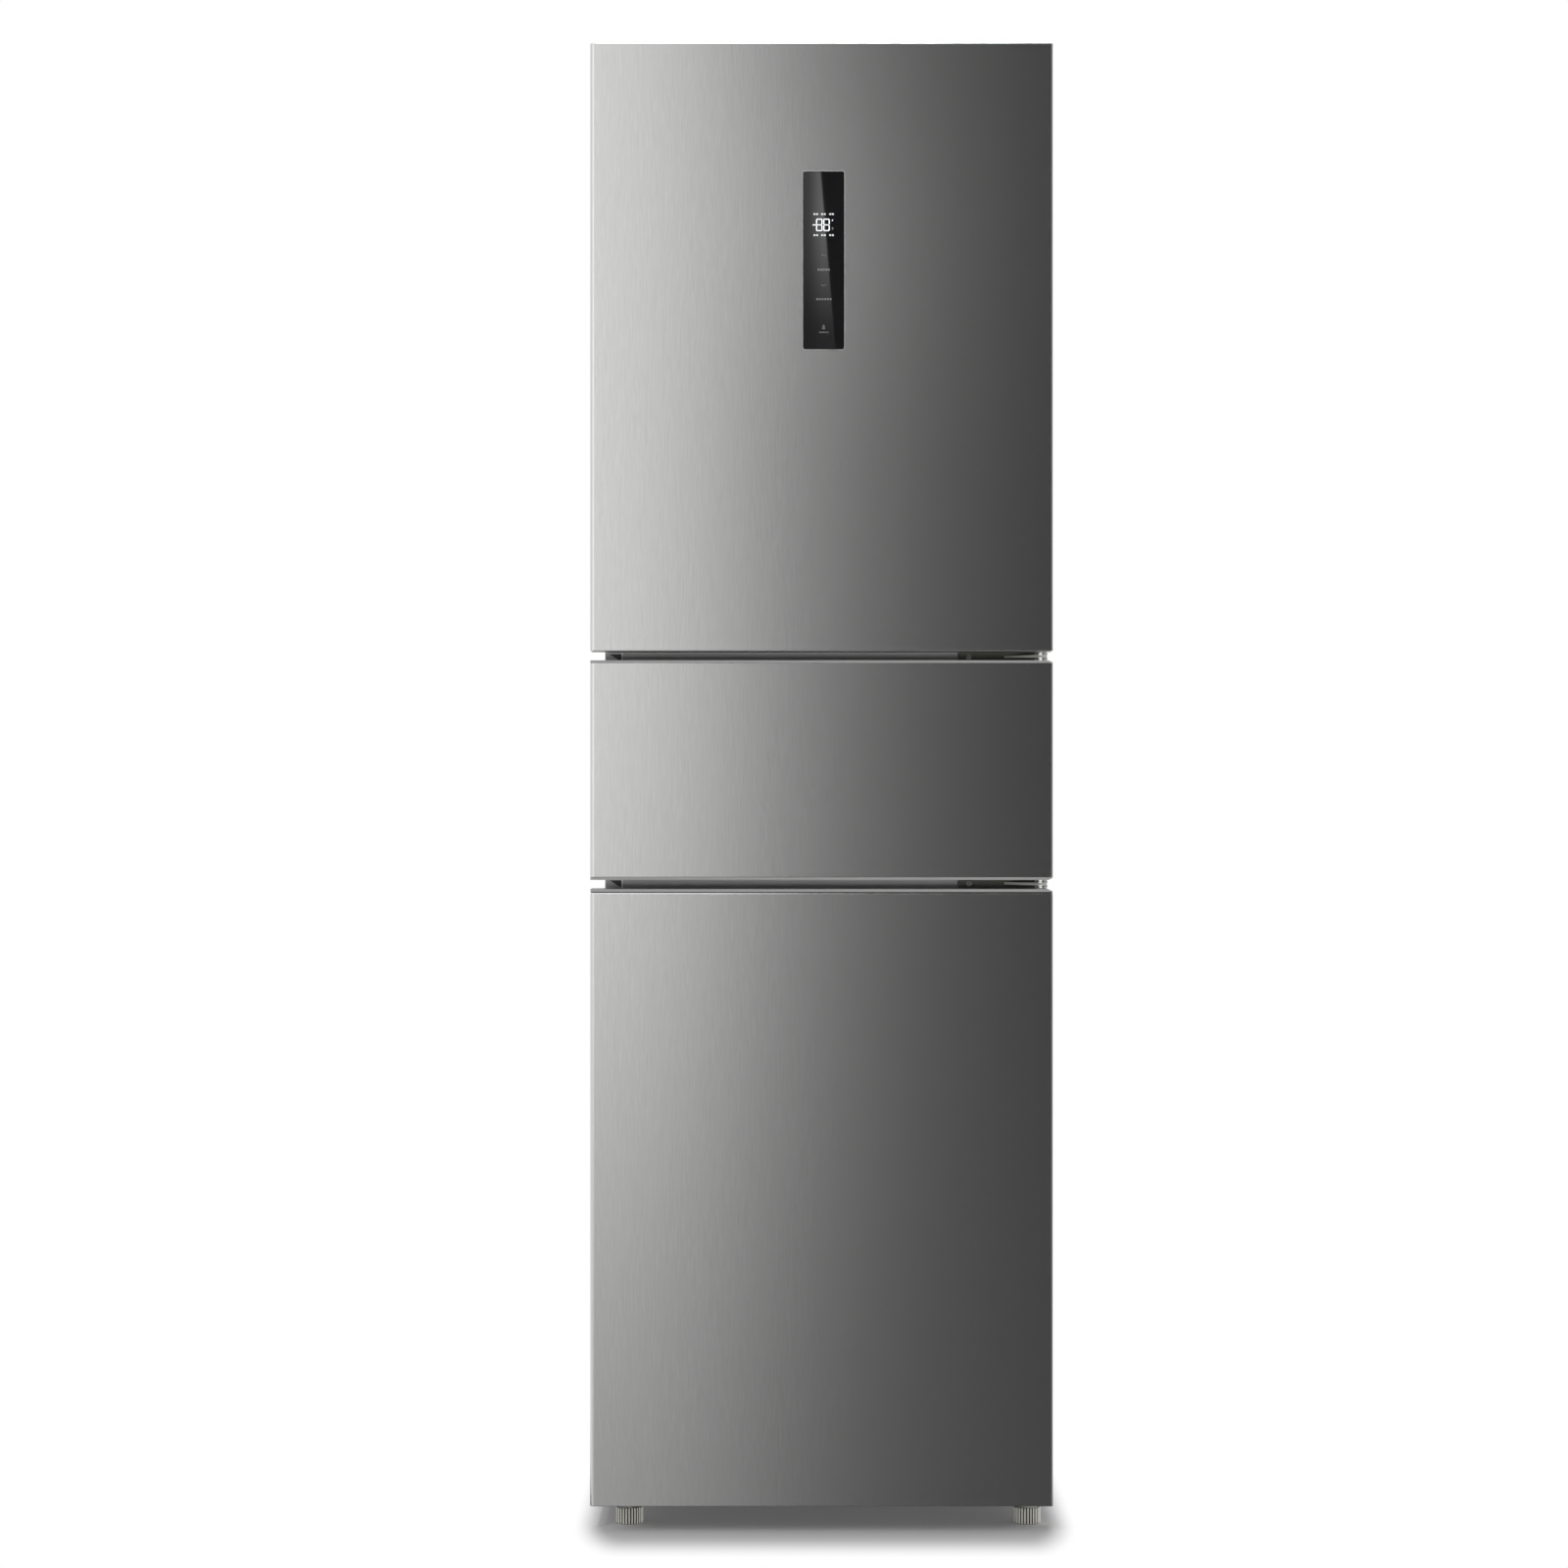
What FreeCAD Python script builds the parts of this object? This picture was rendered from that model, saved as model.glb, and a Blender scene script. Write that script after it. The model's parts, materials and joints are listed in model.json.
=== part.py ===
"""A three-door refrigerator, built as separate pieces in millimetres.

X points right, Y to the back and Z up. The origin is on the floor under the middle of the whole.
All three doors hang on the right, on pins that stand in one line.
"""

import FreeCAD, Part
import math
import os
import re

import Sketcher

SIZES = {
    # doors, as the front shows them
    "door_width": 550,
    "lower_door_height": 733,
    "middle_door_height": 261,
    "upper_door_height": 722,
    "door_gap": 11,
    "floor_gap": 32,
    "door_thickness": 52,
    "seal_gap": 9,
    # cabinet
    "cabinet_depth": 510,
    "side_overhang": 15,
    "sheet": 1,
    "flange": 20,
    "panel_bend": 1.4,
    "side_wall": 45,
    "top_wall": 45,
    "back_wall": 55,
    "floor_wall": 60,
    "partition": 62,
    "beam_height": 46,
    "liner": 1.5,
    "room_corner": 14,
    "base_rise": 10,
    "base_sheet": 2,
    "machine_depth": 190,
    "machine_height": 230,
    "machine_wall": 45,
    # door shells
    "skin_bend": 5,
    "skin_return": 22,
    "cap_lip": 3,
    "cap_bevel": 2.4,
    "cap_drop": 2.6,
    "cap_slant": 5.5,
    "cap_depth": 14,
    "cap_wall": 2.5,
    "cap_inset": 1.2,
    "grip_width": 22,
    "grip_reach": 13,
    "grip_groove": 18,
    "grip_front": 4,
    "grip_scoop": 6,
    "grip_edge": 3,
    "dyke_clear": 9,
    "dyke_width": 30,
    "dyke_height": 24,
    "dyke_round": 4,
    "gasket_side": 4,
    "gasket_margin": 4,
    "gasket_width": 16,
    "gasket_foot": 2.5,
    "gasket_neck": 5.2,
    "gasket_fold": 4,
    "gasket_nib": 1,
    "seal_clear": 0.3,
    # hinges
    "hinge_inset": 11,
    "hinge_depth": 30,
    "hinge_plate": 3,
    "hinge_nose": 9,
    "hinge_outer": 5.5,
    "hinge_cut": 5,
    "hinge_reach": 99,
    "hinge_mount": 16,
    "hinge_arm": 46,
    "hinge_seat": 72,
    "hinge_edge": 3,
    "pin_radius": 4,
    "pin_reach": 16,
    "pin_clear": 0.05,
    "boss_half": 9.5,
    "bore_spare": 3,
    "end_gap": 1,
    "cover_height": 12,
    "cover_front": 10,
    "cover_step": 5,
    "cover_slope": 22,
    "cover_wall": 2,
    "cover_share": 0.25,
    # feet and rollers
    "foot_radius": 16.6,
    "foot_height": 20,
    "foot_depth": 68,
    "foot_left_inset": 29,
    "foot_right_inset": 12,
    "foot_flutes": 26,
    "flute_depth": 0.8,
    "flute_reach": 5.4,
    "stud_radius": 4,
    "stud_end": 2,
    "stud_nut": 8.5,
    "stud_socket": 11,
    "roller_radius": 16,
    "roller_width": 18,
    "roller_inset": 55,
    "roller_back": 50,
    "axle_radius": 3,
    "ear_gap": 1,
    "ear_thickness": 4,
    "ear_half": 9,
    # machine compartment
    "compressor_right": 110,
    "compressor_half_x": 74,
    "compressor_half_y": 58,
    "compressor_curve": 36,
    "compressor_height": 150,
    "mount_half_x": 92,
    "mount_half_y": 64,
    "mount_plate": 3,
    "mount_corner": 12,
    "grommet_reach": 11,
    "grommet_height": 12,
    "terminal_half": 22,
    "terminal_reach": 14,
    "terminal_height": 46,
    "terminal_rise": 22,
    "tray_half_x": 90,
    "tray_half_y": 62,
    "tray_height": 30,
    "tray_wall": 2.5,
    "louvre_width": 170,
    "louvre_gap": 30,
    "louvre_height": 5,
    "louvre_pitch": 26,
    "louvre_rows": 6,
    "louvre_start": 36,
    # inside the fridge
    "crisper_rise": 190,
    "shelf_count": 3,
    "shelf_glass": 4,
    "shelf_side": 1.5,
    "shelf_back": 18,
    "trim_lip": 3,
    "trim_reach": 12,
    "trim_bevel": 2,
    "rib_height": 8,
    "rib_reach": 12,
    "duct_half": 75,
    "duct_depth": 14,
    "duct_rise": 30,
    "duct_slot": 90,
    "duct_slot_height": 6,
    "duct_pitch": 56,
    "duct_rows": 6,
    "lamp_half": 70,
    "lamp_depth": 80,
    "lamp_drop": 9,
    "lamp_slope": 12,
    "bin_count": 3,
    "bin_depth": 104,
    "bin_wall": 2.5,
    "bin_height": 88,
    "bin_corner": 14,
    "bin_draft": 2,
    "bin_first": 45,
    "bin_pitch": 195,
    "bin_gap": 0.5,
    "lug_reach": 8,
    "lug_rise": 20,
    "lug_height": 30,
    "lug_depth": 17,
    "lug_start": 3,
    "ear_height": 12,
    # drawers
    "drawer_set": 40,
    "drawer_side": 4,
    "drawer_wall": 2.5,
    "drawer_front": 4,
    "drawer_corner": 12,
    "drawer_draft": 2,
    "drawer_rear": 5,
    "slide_clear": 0.5,
    "drawer_head": 12,
    "slot_half": 55,
    "slot_height": 22,
    "slot_drop": 16,
    "slot_reach": 16,
    "crisper_side": 8,
    # cold air
    "cold_depth": 65,
    "cold_panel": 2.5,
    "coil_half": 175,
    "coil_height": 150,
    "coil_gap": 6,
    "fin_thickness": 1.5,
    "fin_pitch": 30,
    "fin_count": 12,
    "vent_width": 130,
    "vent_height": 6,
    "vent_pitch": 16,
    "vent_rows": 3,
    "vent_drop": 22,
    # display
    "display_width": 49.2,
    "display_height": 211.6,
    "display_right": 2.5,
    "display_drop": 152.2,
    "display_corner": 3,
    "display_bezel": 0.9,
    "display_glass": 2,
    "display_ledge": 2.5,
    "display_depth": 14,
    "display_floor": 2,
    "board_thickness": 1.6,
    "board_gap": 1,
}

PLACES = {
    "half_width": "door_width / 2",
    "whole_depth": "door_thickness + seal_gap + cabinet_depth",
    "front": "-whole_depth / 2",
    "back": "whole_depth / 2",
    "door_back": "front + door_thickness",
    "cabinet_front": "door_back + seal_gap",
    "frame_back": "cabinet_front + sheet",
    "cabinet_half": "half_width - side_overhang",
    "inside_half": "cabinet_half - sheet",
    "beam_half": "cabinet_half - flange",
    "lower_bottom": "floor_gap",
    "lower_top": "lower_bottom + lower_door_height",
    "middle_bottom": "lower_top + door_gap",
    "middle_top": "middle_bottom + middle_door_height",
    "upper_bottom": "middle_top + door_gap",
    "upper_top": "upper_bottom + upper_door_height",
    "cabinet_bottom": "lower_bottom + base_rise",
    "cabinet_top": "upper_top + end_gap",
    "base_top": "cabinet_bottom + base_sheet",
    "lower_beam": "lower_top + door_gap / 2",
    "upper_beam": "middle_top + door_gap / 2",
    "room_half": "cabinet_half - side_wall",
    "room_back": "back - back_wall",
    "fridge_bottom": "upper_beam + partition / 2",
    "fridge_top": "cabinet_top - top_wall",
    "chill_bottom": "lower_beam + partition / 2",
    "chill_top": "upper_beam - partition / 2",
    "freezer_bottom": "cabinet_bottom + floor_wall",
    "freezer_top": "lower_beam - partition / 2",
    "machine_front": "back - machine_depth",
    "machine_top": "cabinet_bottom + machine_height",
    "step_front": "machine_front - machine_wall",
    "step_top": "machine_top + machine_wall",
    "hinge_x": "half_width - hinge_inset",
    "hinge_y": "front + hinge_depth",
    "hinge_left": "hinge_x - hinge_reach",
    "hinge_right": "cabinet_half - hinge_edge",
    "foot_y": "front + foot_depth",
    "foot_left": "cabinet_half - foot_left_inset",
    "foot_right": "cabinet_half - foot_right_inset",
    "grip_inner": "grip_width - half_width",
    "grip_start": "front + skin_return",
    "dyke_half": "room_half - dyke_clear",
    "dyke_inner": "dyke_half - dyke_width",
    "bin_half": "dyke_inner - lug_reach - bin_gap",
    "gasket_half": "cabinet_half - gasket_side",
    "roller_x": "cabinet_half - roller_inset",
    "roller_y": "back - roller_back",
    "compressor_y": "machine_front + machine_depth / 2",
    "mount_bottom": "base_top + grommet_height",
    "compressor_bottom": "mount_bottom + mount_plate",
    "compressor_top": "compressor_bottom + compressor_height",
    "shelf_front": "door_back + bin_depth + drawer_set / 2",
    "crisper_level": "fridge_bottom + crisper_rise",
    "shelf_rise": "(fridge_top - crisper_level) / shelf_count",
    "rib_start": "shelf_front + trim_reach + ear_gap",
    "drawer_start": "door_back + dyke_height + drawer_set / 2",
    "cold_front": "room_back - cold_depth",
    "cold_back": "cold_front + cold_panel",
    "coil_bottom": "step_top + coil_gap",
    "coil_top": "coil_bottom + coil_height",
    "freezer_pitch": "(freezer_top - step_top) / 2",
    "bin_bottom": "fridge_bottom + dyke_clear + bin_first",
    "display_top": "upper_top - display_drop",
    "display_z": "display_top - display_height / 2",
}

WORD = re.compile(r"[A-Za-z_][A-Za-z_0-9]*")
TOUCH = 0.001
FULL_TURN = 360
HEX_SIDES = 6
AXES = ("x", "y", "z")
ROLES = {"x": "YZ_Plane", "y": "XZ_Plane", "z": "XY_Plane"}
TURNS = {
    "x": FreeCAD.Rotation(FreeCAD.Vector(0, 1, 0), 90),
    "y": FreeCAD.Rotation(FreeCAD.Vector(1, 0, 0), -90),
    "z": FreeCAD.Rotation(),
}

doc = FreeCAD.newDocument("Refrigerator")
sheet = doc.addObject("Spreadsheet::Sheet", "Dims")
for row, (word, number) in enumerate(SIZES.items(), 1):
    sheet.set(f"A{row}", word)
    sheet.set(f"B{row}", str(number))
    sheet.setAlias(f"B{row}", word)
doc.recompute()
nodes = []


def formula(text):
    """Spells a formula out: each size becomes its cell and each place its own formula."""

    def spell(match):
        name = match.group(0)
        if name in PLACES:
            return f"({formula(PLACES[name])})"
        return f"Dims.{name}" if name in SIZES else name

    return WORD.sub(spell, str(text))


def value(text):
    """The number that a formula comes to."""
    return float(sheet.evalExpression(formula(text)))


def node(label, thing):
    """Names a finished piece, which is then written to its own file."""
    thing.Label = label
    nodes.append(thing)
    return thing


def spread(middle, half):
    """A span that reaches half to each side of its middle."""
    return (f"{middle} - ({half})", f"{middle} + ({half})")


def both(half):
    """A span that reaches half to each side of the middle plane."""
    return (f"-({half})", f"{half}")


def inward(edge, way, start, end):
    """A span measured inward from a door's end, which is its bottom (way 1) or its top (way -1)."""
    if way > 0:
        return (f"{edge} + ({start})", f"{edge} + ({end})")
    return (f"{edge} - ({end})", f"{edge} - ({start})")


def mirror(side, low, high):
    """A span on the right (side 1), or the same span on the left (side -1)."""
    if side > 0:
        return (low, high)
    return (f"-({high})", f"-({low})")


def box(name, x, y, z):
    """A block between three pairs of places."""
    block = doc.addObject("Part::Box", name)
    for size, axis, (low, high) in zip(("Length", "Width", "Height"), AXES, (x, y, z)):
        block.setExpression(size, formula(f"({high}) - ({low})"))
        block.setExpression(f"Placement.Base.{axis}", formula(low))
    return block


def cylinder(name, axis, centre, span, radius):
    """A round bar along an axis, centred on the two places given for the other axes."""
    bar = doc.addObject("Part::Cylinder", name)
    bar.Placement = FreeCAD.Placement(FreeCAD.Vector(), TURNS[axis])
    bar.setExpression("Radius", formula(radius))
    bar.setExpression("Height", formula(f"({span[1]}) - ({span[0]})"))
    others = [other for other in AXES if other != axis]
    for other, place in zip(others, centre):
        bar.setExpression(f"Placement.Base.{other}", formula(place))
    bar.setExpression(f"Placement.Base.{axis}", formula(span[0]))
    return bar


def fuse(name, pieces):
    """Several pieces as one."""
    whole = doc.addObject("Part::MultiFuse", name)
    whole.Shapes = pieces
    whole.Refine = True
    return whole


def cut(name, base, tools):
    """A piece less its tools."""
    rest = doc.addObject("Part::Cut", name)
    rest.Base = base
    rest.Tool = tools[0] if len(tools) == 1 else fuse(f"{name}_tools", tools)
    rest.Refine = True
    return rest


def group(name, pieces):
    """Like pieces that stay separate and share one file."""
    kept = doc.addObject("Part::Compound", name)
    kept.Links = pieces
    return kept


def rectangle(first, second):
    """The four corners between two pairs of places."""
    return [(first[0], second[0]), (first[1], second[0]), (first[1], second[1]), (first[0], second[1])]


def draw(part, axis, loops, offset="0"):
    """A sketch square to an axis, of closed loops whose corners are pairs of formulas."""
    sketch = part.newObject("Sketcher::SketchObject", f"{part.Name}_sketch")
    support = next(plane for plane in part.Origin.OriginFeatures if plane.Role == ROLES[axis])
    sketch.AttachmentSupport = (support, [""])
    sketch.MapMode = "FlatFace"
    sketch.setExpression("AttachmentOffset.Base.z", formula(offset))
    for corners in loops:
        start = sketch.GeometryCount
        points = [FreeCAD.Vector(value(first), value(second)) for first, second in corners]
        for point, following in zip(points, points[1:] + points[:1]):
            sketch.addGeometry(Part.LineSegment(point, following))
        for step, (point, corner) in enumerate(zip(points, corners)):
            line = start + step
            following = start + (step + 1) % len(corners)
            sketch.addConstraint(Sketcher.Constraint("Coincident", line, 2, following, 1))
            for kind, measure, place in zip(("DistanceX", "DistanceY"), point, corner):
                number = sketch.addConstraint(Sketcher.Constraint(kind, -1, 1, line, 1, measure))
                sketch.setExpression(f"Constraints[{number}]", formula(place))
    return sketch


def draw_rounded(part, axis, first, second, radius, offset="0"):
    """A sketch square to an axis that holds one rectangle with round corners."""
    sketch = draw(part, axis, [], offset)
    (left, right), (low, high) = [[value(place) for place in span] for span in (first, second)]
    curve = value(radius)
    middles = ((right - curve, low + curve), (right - curve, high - curve), (left + curve, high - curve))
    middles += ((left + curve, low + curve),)
    quarter = math.pi / 2
    starts = [FreeCAD.Vector(left + curve, low), FreeCAD.Vector(right, low + curve)]
    starts += [FreeCAD.Vector(right - curve, high), FreeCAD.Vector(left, high - curve)]
    for step, (middle, start) in enumerate(zip(middles, starts)):
        circle = Part.Circle(FreeCAD.Vector(*middle), FreeCAD.Vector(0, 0, 1), curve)
        arc = Part.ArcOfCircle(circle, quarter * (step - 1), quarter * step)
        sketch.addGeometry(Part.LineSegment(start, arc.StartPoint))
        sketch.addGeometry(arc)
    for piece in range(sketch.GeometryCount):
        sketch.addConstraint(Sketcher.Constraint("Tangent", piece, 2, (piece + 1) % sketch.GeometryCount, 1))
    bottom, right_line, top, left_line = range(0, sketch.GeometryCount, 2)
    for kind, lines in (("Horizontal", (bottom, top)), ("Vertical", (right_line, left_line))):
        for line in lines:
            sketch.addConstraint(Sketcher.Constraint(kind, line))
    for line in (right_line, top, left_line):
        sketch.addConstraint(Sketcher.Constraint("Equal", bottom + 1, line + 1))
    limits = (
        (Sketcher.Constraint("DistanceY", -1, 1, bottom, 1, low), second[0]),
        (Sketcher.Constraint("DistanceX", -1, 1, right_line, 1, right), first[1]),
        (Sketcher.Constraint("DistanceY", -1, 1, top, 1, high), second[1]),
        (Sketcher.Constraint("DistanceX", -1, 1, left_line, 1, left), first[0]),
        (Sketcher.Constraint("Radius", bottom + 1, curve), radius),
    )
    for limit, place in limits:
        number = sketch.addConstraint(limit)
        sketch.setExpression(f"Constraints[{number}]", formula(place))
    return sketch


def feature(part, kind, profile, length, **settings):
    """A pad or pocket of a sketch."""
    made = part.newObject(f"PartDesign::{kind}", f"{part.Name}_{kind.lower()}")
    made.Profile = profile
    made.setExpression("Length", formula(length))
    for setting, choice in settings.items():
        setattr(made, setting, choice)
    return made


def prism(name, axis, loops, span):
    """A body padded from an outline, along an axis and between two places."""
    part = doc.addObject("PartDesign::Body", name)
    offset = f"-({span[1]})" if axis == "y" else span[0]
    feature(part, "Pad", draw(part, axis, loops, offset), f"({span[1]}) - ({span[0]})")
    part.recompute(True)
    return part


def edges(part, along=None, **places):
    """Names of the edges whose ends lie on the given places, and that run along an axis if one is given."""
    names = []
    for number, edge in enumerate(part.Tip.Shape.Edges, 1):
        ends = [corner.Point for corner in edge.Vertexes]
        travel = ends[-1] - ends[0]
        strays = [axis for axis in AXES if axis != along and abs(getattr(travel, axis)) > TOUCH]
        if along and (strays or travel.Length < TOUCH):
            continue
        if all(abs(getattr(end, axis) - place) < TOUCH for end in ends for axis, place in places.items()):
            names.append(f"Edge{number}")
    return names


def dress(part, names, radius):
    """Rounds a body's named edges."""
    made = part.newObject("PartDesign::Fillet", f"{part.Name}_fillet")
    made.Base = (made.BaseFeature, names)
    made.setExpression("Radius", formula(radius))
    part.recompute(True)


def rounded_box(name, axis, x, y, z, radius):
    """A block whose four edges along an axis are rounded."""
    spans = dict(zip(AXES, (x, y, z)))
    first, second = [spans[other] for other in AXES if other != axis]
    part = doc.addObject("PartDesign::Body", name)
    low, high = spans[axis]
    offset = f"-({high})" if axis == "y" else low
    feature(part, "Pad", draw_rounded(part, axis, first, second, radius, offset), f"({high}) - ({low})")
    part.recompute(True)
    return part


def hexagon(name, axis, centre, span, reach):
    """A six-sided block along an axis. Its reach is that of its corners."""
    corners = []
    for turn in range(0, FULL_TURN, FULL_TURN // HEX_SIDES):
        corners.append((f"{centre[0]} + {reach} * cos({turn})", f"{centre[1]} + {reach} * sin({turn})"))
    return prism(name, axis, [corners], span)


def frame(name, x_half, z, width, y):
    """A flat rectangular ring that faces forward."""
    hole = rectangle(both(f"{x_half} - ({width})"), (f"{z[0]} + ({width})", f"{z[1]} - ({width})"))
    return prism(name, "y", [rectangle(both(x_half), z), hole], y)


def revolved(name, profile):
    """A body turned about its own upright axis from pairs of radius and height."""
    part = doc.addObject("PartDesign::Body", name)
    turned = part.newObject("PartDesign::Revolution", f"{name}_turned")
    sketch = draw(part, "y", [profile])
    turned.Profile = sketch
    turned.ReferenceAxis = (sketch, ["V_Axis"])
    part.recompute(True)
    return part


def put(part, x, y, z, axis="z"):
    """Stands a turned body at a place, with its own upright axis along the given one."""
    part.Placement = FreeCAD.Placement(FreeCAD.Vector(), TURNS[axis])
    for direction, place in zip(AXES, (x, y, z)):
        part.setExpression(f"Placement.Base.{direction}", formula(place))
    return part


def repeat_round(part, original, count):
    """Repeats a feature all the way round a body's upright axis."""
    pattern = part.newObject("PartDesign::PolarPattern", f"{part.Name}_round")
    pattern.Originals = [original]
    upright = next(line for line in part.Origin.OriginFeatures if line.Role == "Z_Axis")
    pattern.Axis = (upright, [""])
    pattern.setExpression("Occurrences", formula(count))
    part.Tip = pattern
    part.recompute(True)


def repeat_along(part, original, sketch, direction, pitch, count):
    """Repeats a feature in a row along one of its sketch's axes."""
    pattern = part.newObject("PartDesign::LinearPattern", f"{part.Name}_row")
    pattern.Originals = [original]
    pattern.Direction = (sketch, [direction])
    pattern.setExpression("Length", formula(f"{pitch} * ({count} - 1)"))
    pattern.setExpression("Occurrences", formula(count))
    part.Tip = pattern
    part.recompute(True)


def leaning(name, x, y, z, corner, draft):
    """A solid block that narrows downward, its two rear corners rounded. Its spans are those of the rim."""
    part = prism(name, "z", [rectangle(x, y)], z)
    part.recompute(True)
    upright = []
    rim = []
    for number, face in enumerate(part.Tip.Shape.Faces, 1):
        rise = face.normalAt(0, 0).z
        if abs(rise) < TOUCH:
            upright.append(f"Face{number}")
        elif rise > 0:
            rim.append(f"Face{number}")
    block = part.Tip
    lean = part.newObject("PartDesign::Draft", "Draft")
    lean.Base = (block, upright)
    lean.NeutralPlane = (block, rim)
    lean.Reversed = True
    lean.setExpression("Angle", formula(draft))
    part.recompute(True)
    slants = []
    for number, edge in enumerate(lean.Shape.Edges, 1):
        if edge.BoundBox.ZLength > TOUCH and edge.CenterOfMass.y > lean.Shape.CenterOfMass.y:
            slants.append(f"Edge{number}")
    dress(part, slants, corner)
    return part


def tub(name, x, y, z, wall, corner, draft):
    """An open-topped box with leaning walls and round rear corners. Its spans are those of the rim."""
    outside = leaning(f"{name}_outside", x, y, z, corner, draft)
    inner = [(f"{low} + {wall}", f"{high} - {wall}") for low, high in (x, y)]
    hollow = leaning(f"{name}_hollow", *inner, (f"{z[0]} + {wall}", z[1]), f"{corner} - {wall}", draft)
    return cut(name, outside, [hollow])


def slots(part, axis_offset, columns, height, first, pitch, rows, depth):
    """Rows of slots through a forward-facing panel, from the spans of their columns and the lowest row."""
    loops = [rectangle(column, (first, f"{first} + {height}")) for column in columns]
    sketch = draw(part, "y", loops, axis_offset)
    pocket = feature(part, "Pocket", sketch, depth, Midplane=True)
    repeat_along(part, pocket, sketch, "V_Axis", pitch, rows)


def side_panels():
    """The two folded side sheets with their front flanges."""
    for label, side in (("left_side_panel", -1), ("right_side_panel", 1)):
        outline = [
            (f"{side} * cabinet_half", "cabinet_front"),
            (f"{side} * beam_half", "cabinet_front"),
            (f"{side} * beam_half", "frame_back"),
            (f"{side} * inside_half", "frame_back"),
            (f"{side} * inside_half", "back"),
            (f"{side} * cabinet_half", "back"),
        ]
        panel = prism(label, "z", [outline], ("cabinet_bottom", "cabinet_top"))
        corner = edges(panel, "z", x=value(f"{side} * cabinet_half"), y=value("cabinet_front"))
        dress(panel, corner, "panel_bend")
        node(label, panel)


def shell():
    """Top, back and floor of the cabinet, and the two beams across its front."""
    across = both("inside_half")
    lid = box("lid", across, ("frame_back", "back"), ("cabinet_top - sheet", "cabinet_top"))
    rim_depth = ("cabinet_front", "frame_back")
    brow = box("brow", both("beam_half"), rim_depth, ("cabinet_top - flange", "cabinet_top"))
    node("top_panel", fuse("top_panel", [lid, brow]))
    bend = [
        ("back", "machine_top"),
        ("back", "cabinet_top - sheet"),
        ("back - sheet", "cabinet_top - sheet"),
        ("back - sheet", "machine_top + sheet"),
        ("machine_front - sheet", "machine_top + sheet"),
        ("machine_front - sheet", "base_top"),
        ("machine_front", "base_top"),
        ("machine_front", "machine_top"),
    ]
    node("rear_panel", prism("rear_panel", "x", [bend], across))
    beams = [
        box(f"{middle}_strip", both("beam_half"), rim_depth, spread(middle, "beam_height / 2"))
        for middle in ("lower_beam", "upper_beam")
    ]
    node("front_beams", group("front_beams", beams))


def base():
    """The floor plate with its front rail, the left foot's nut, and the ears and axles of the rollers."""
    plate = box("floor_plate", both("inside_half"), ("frame_back", "back"), ("cabinet_bottom", "base_top"))
    rail_z = ("cabinet_bottom", "base_top + flange")
    rail = box("floor_rail", both("beam_half"), ("cabinet_front", "frame_back"), rail_z)
    foot = ("-foot_left", "foot_y")
    thread = ("cabinet_bottom - stud_socket", "cabinet_bottom")
    nut = hexagon("foot_nut", "z", foot, thread, "stud_nut")
    socket = cylinder("foot_socket", "z", foot, thread, "stud_radius + pin_clear")
    ears = []
    for side in (-1, 1):
        for face in (-1, 1):
            middle = f"{side} * roller_x + {face} * (roller_width / 2 + ear_gap + ear_thickness / 2)"
            ears.append(
                box(
                    "ear",
                    spread(middle, "ear_thickness / 2"),
                    spread("roller_y", "ear_half"),
                    ("roller_radius - ear_half", "cabinet_bottom"),
                )
            )
        reach = spread(f"{side} * roller_x", "roller_width / 2 + ear_gap + ear_thickness / 2")
        ears.append(cylinder("axle", "x", ("roller_y", "roller_radius"), reach, "axle_radius"))
    node("base_plate", cut("base_plate", fuse("base_blank", [plate, rail, nut] + ears), [socket]))


def room(name, bottom, top, stepped):
    """The hollow of a compartment, and the outside of its liner."""
    hollows = []
    for part, gap in (("hollow", "0"), ("outside", "liner")):
        across = both(f"room_half + {gap}")
        height = (f"{bottom} - {gap}", f"{top} + {gap}")
        if part == "hollow":
            depth = ("cabinet_front - sheet", "room_back")
            block = rounded_box(f"{name}_hollow", "y", across, depth, height, "room_corner")
        else:
            block = box(f"{name}_outside", across, ("cabinet_front", "room_back + liner"), height)
        if stepped:
            ledge = box(
                f"{name}_{part}_ledge",
                both("cabinet_half"),
                (f"step_front + {gap}", "back"),
                ("floor_gap", f"step_top - {gap}"),
            )
            block = cut(f"{name}_{part}_stepped", block, [ledge])
        hollows.append(block)
    return hollows


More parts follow.
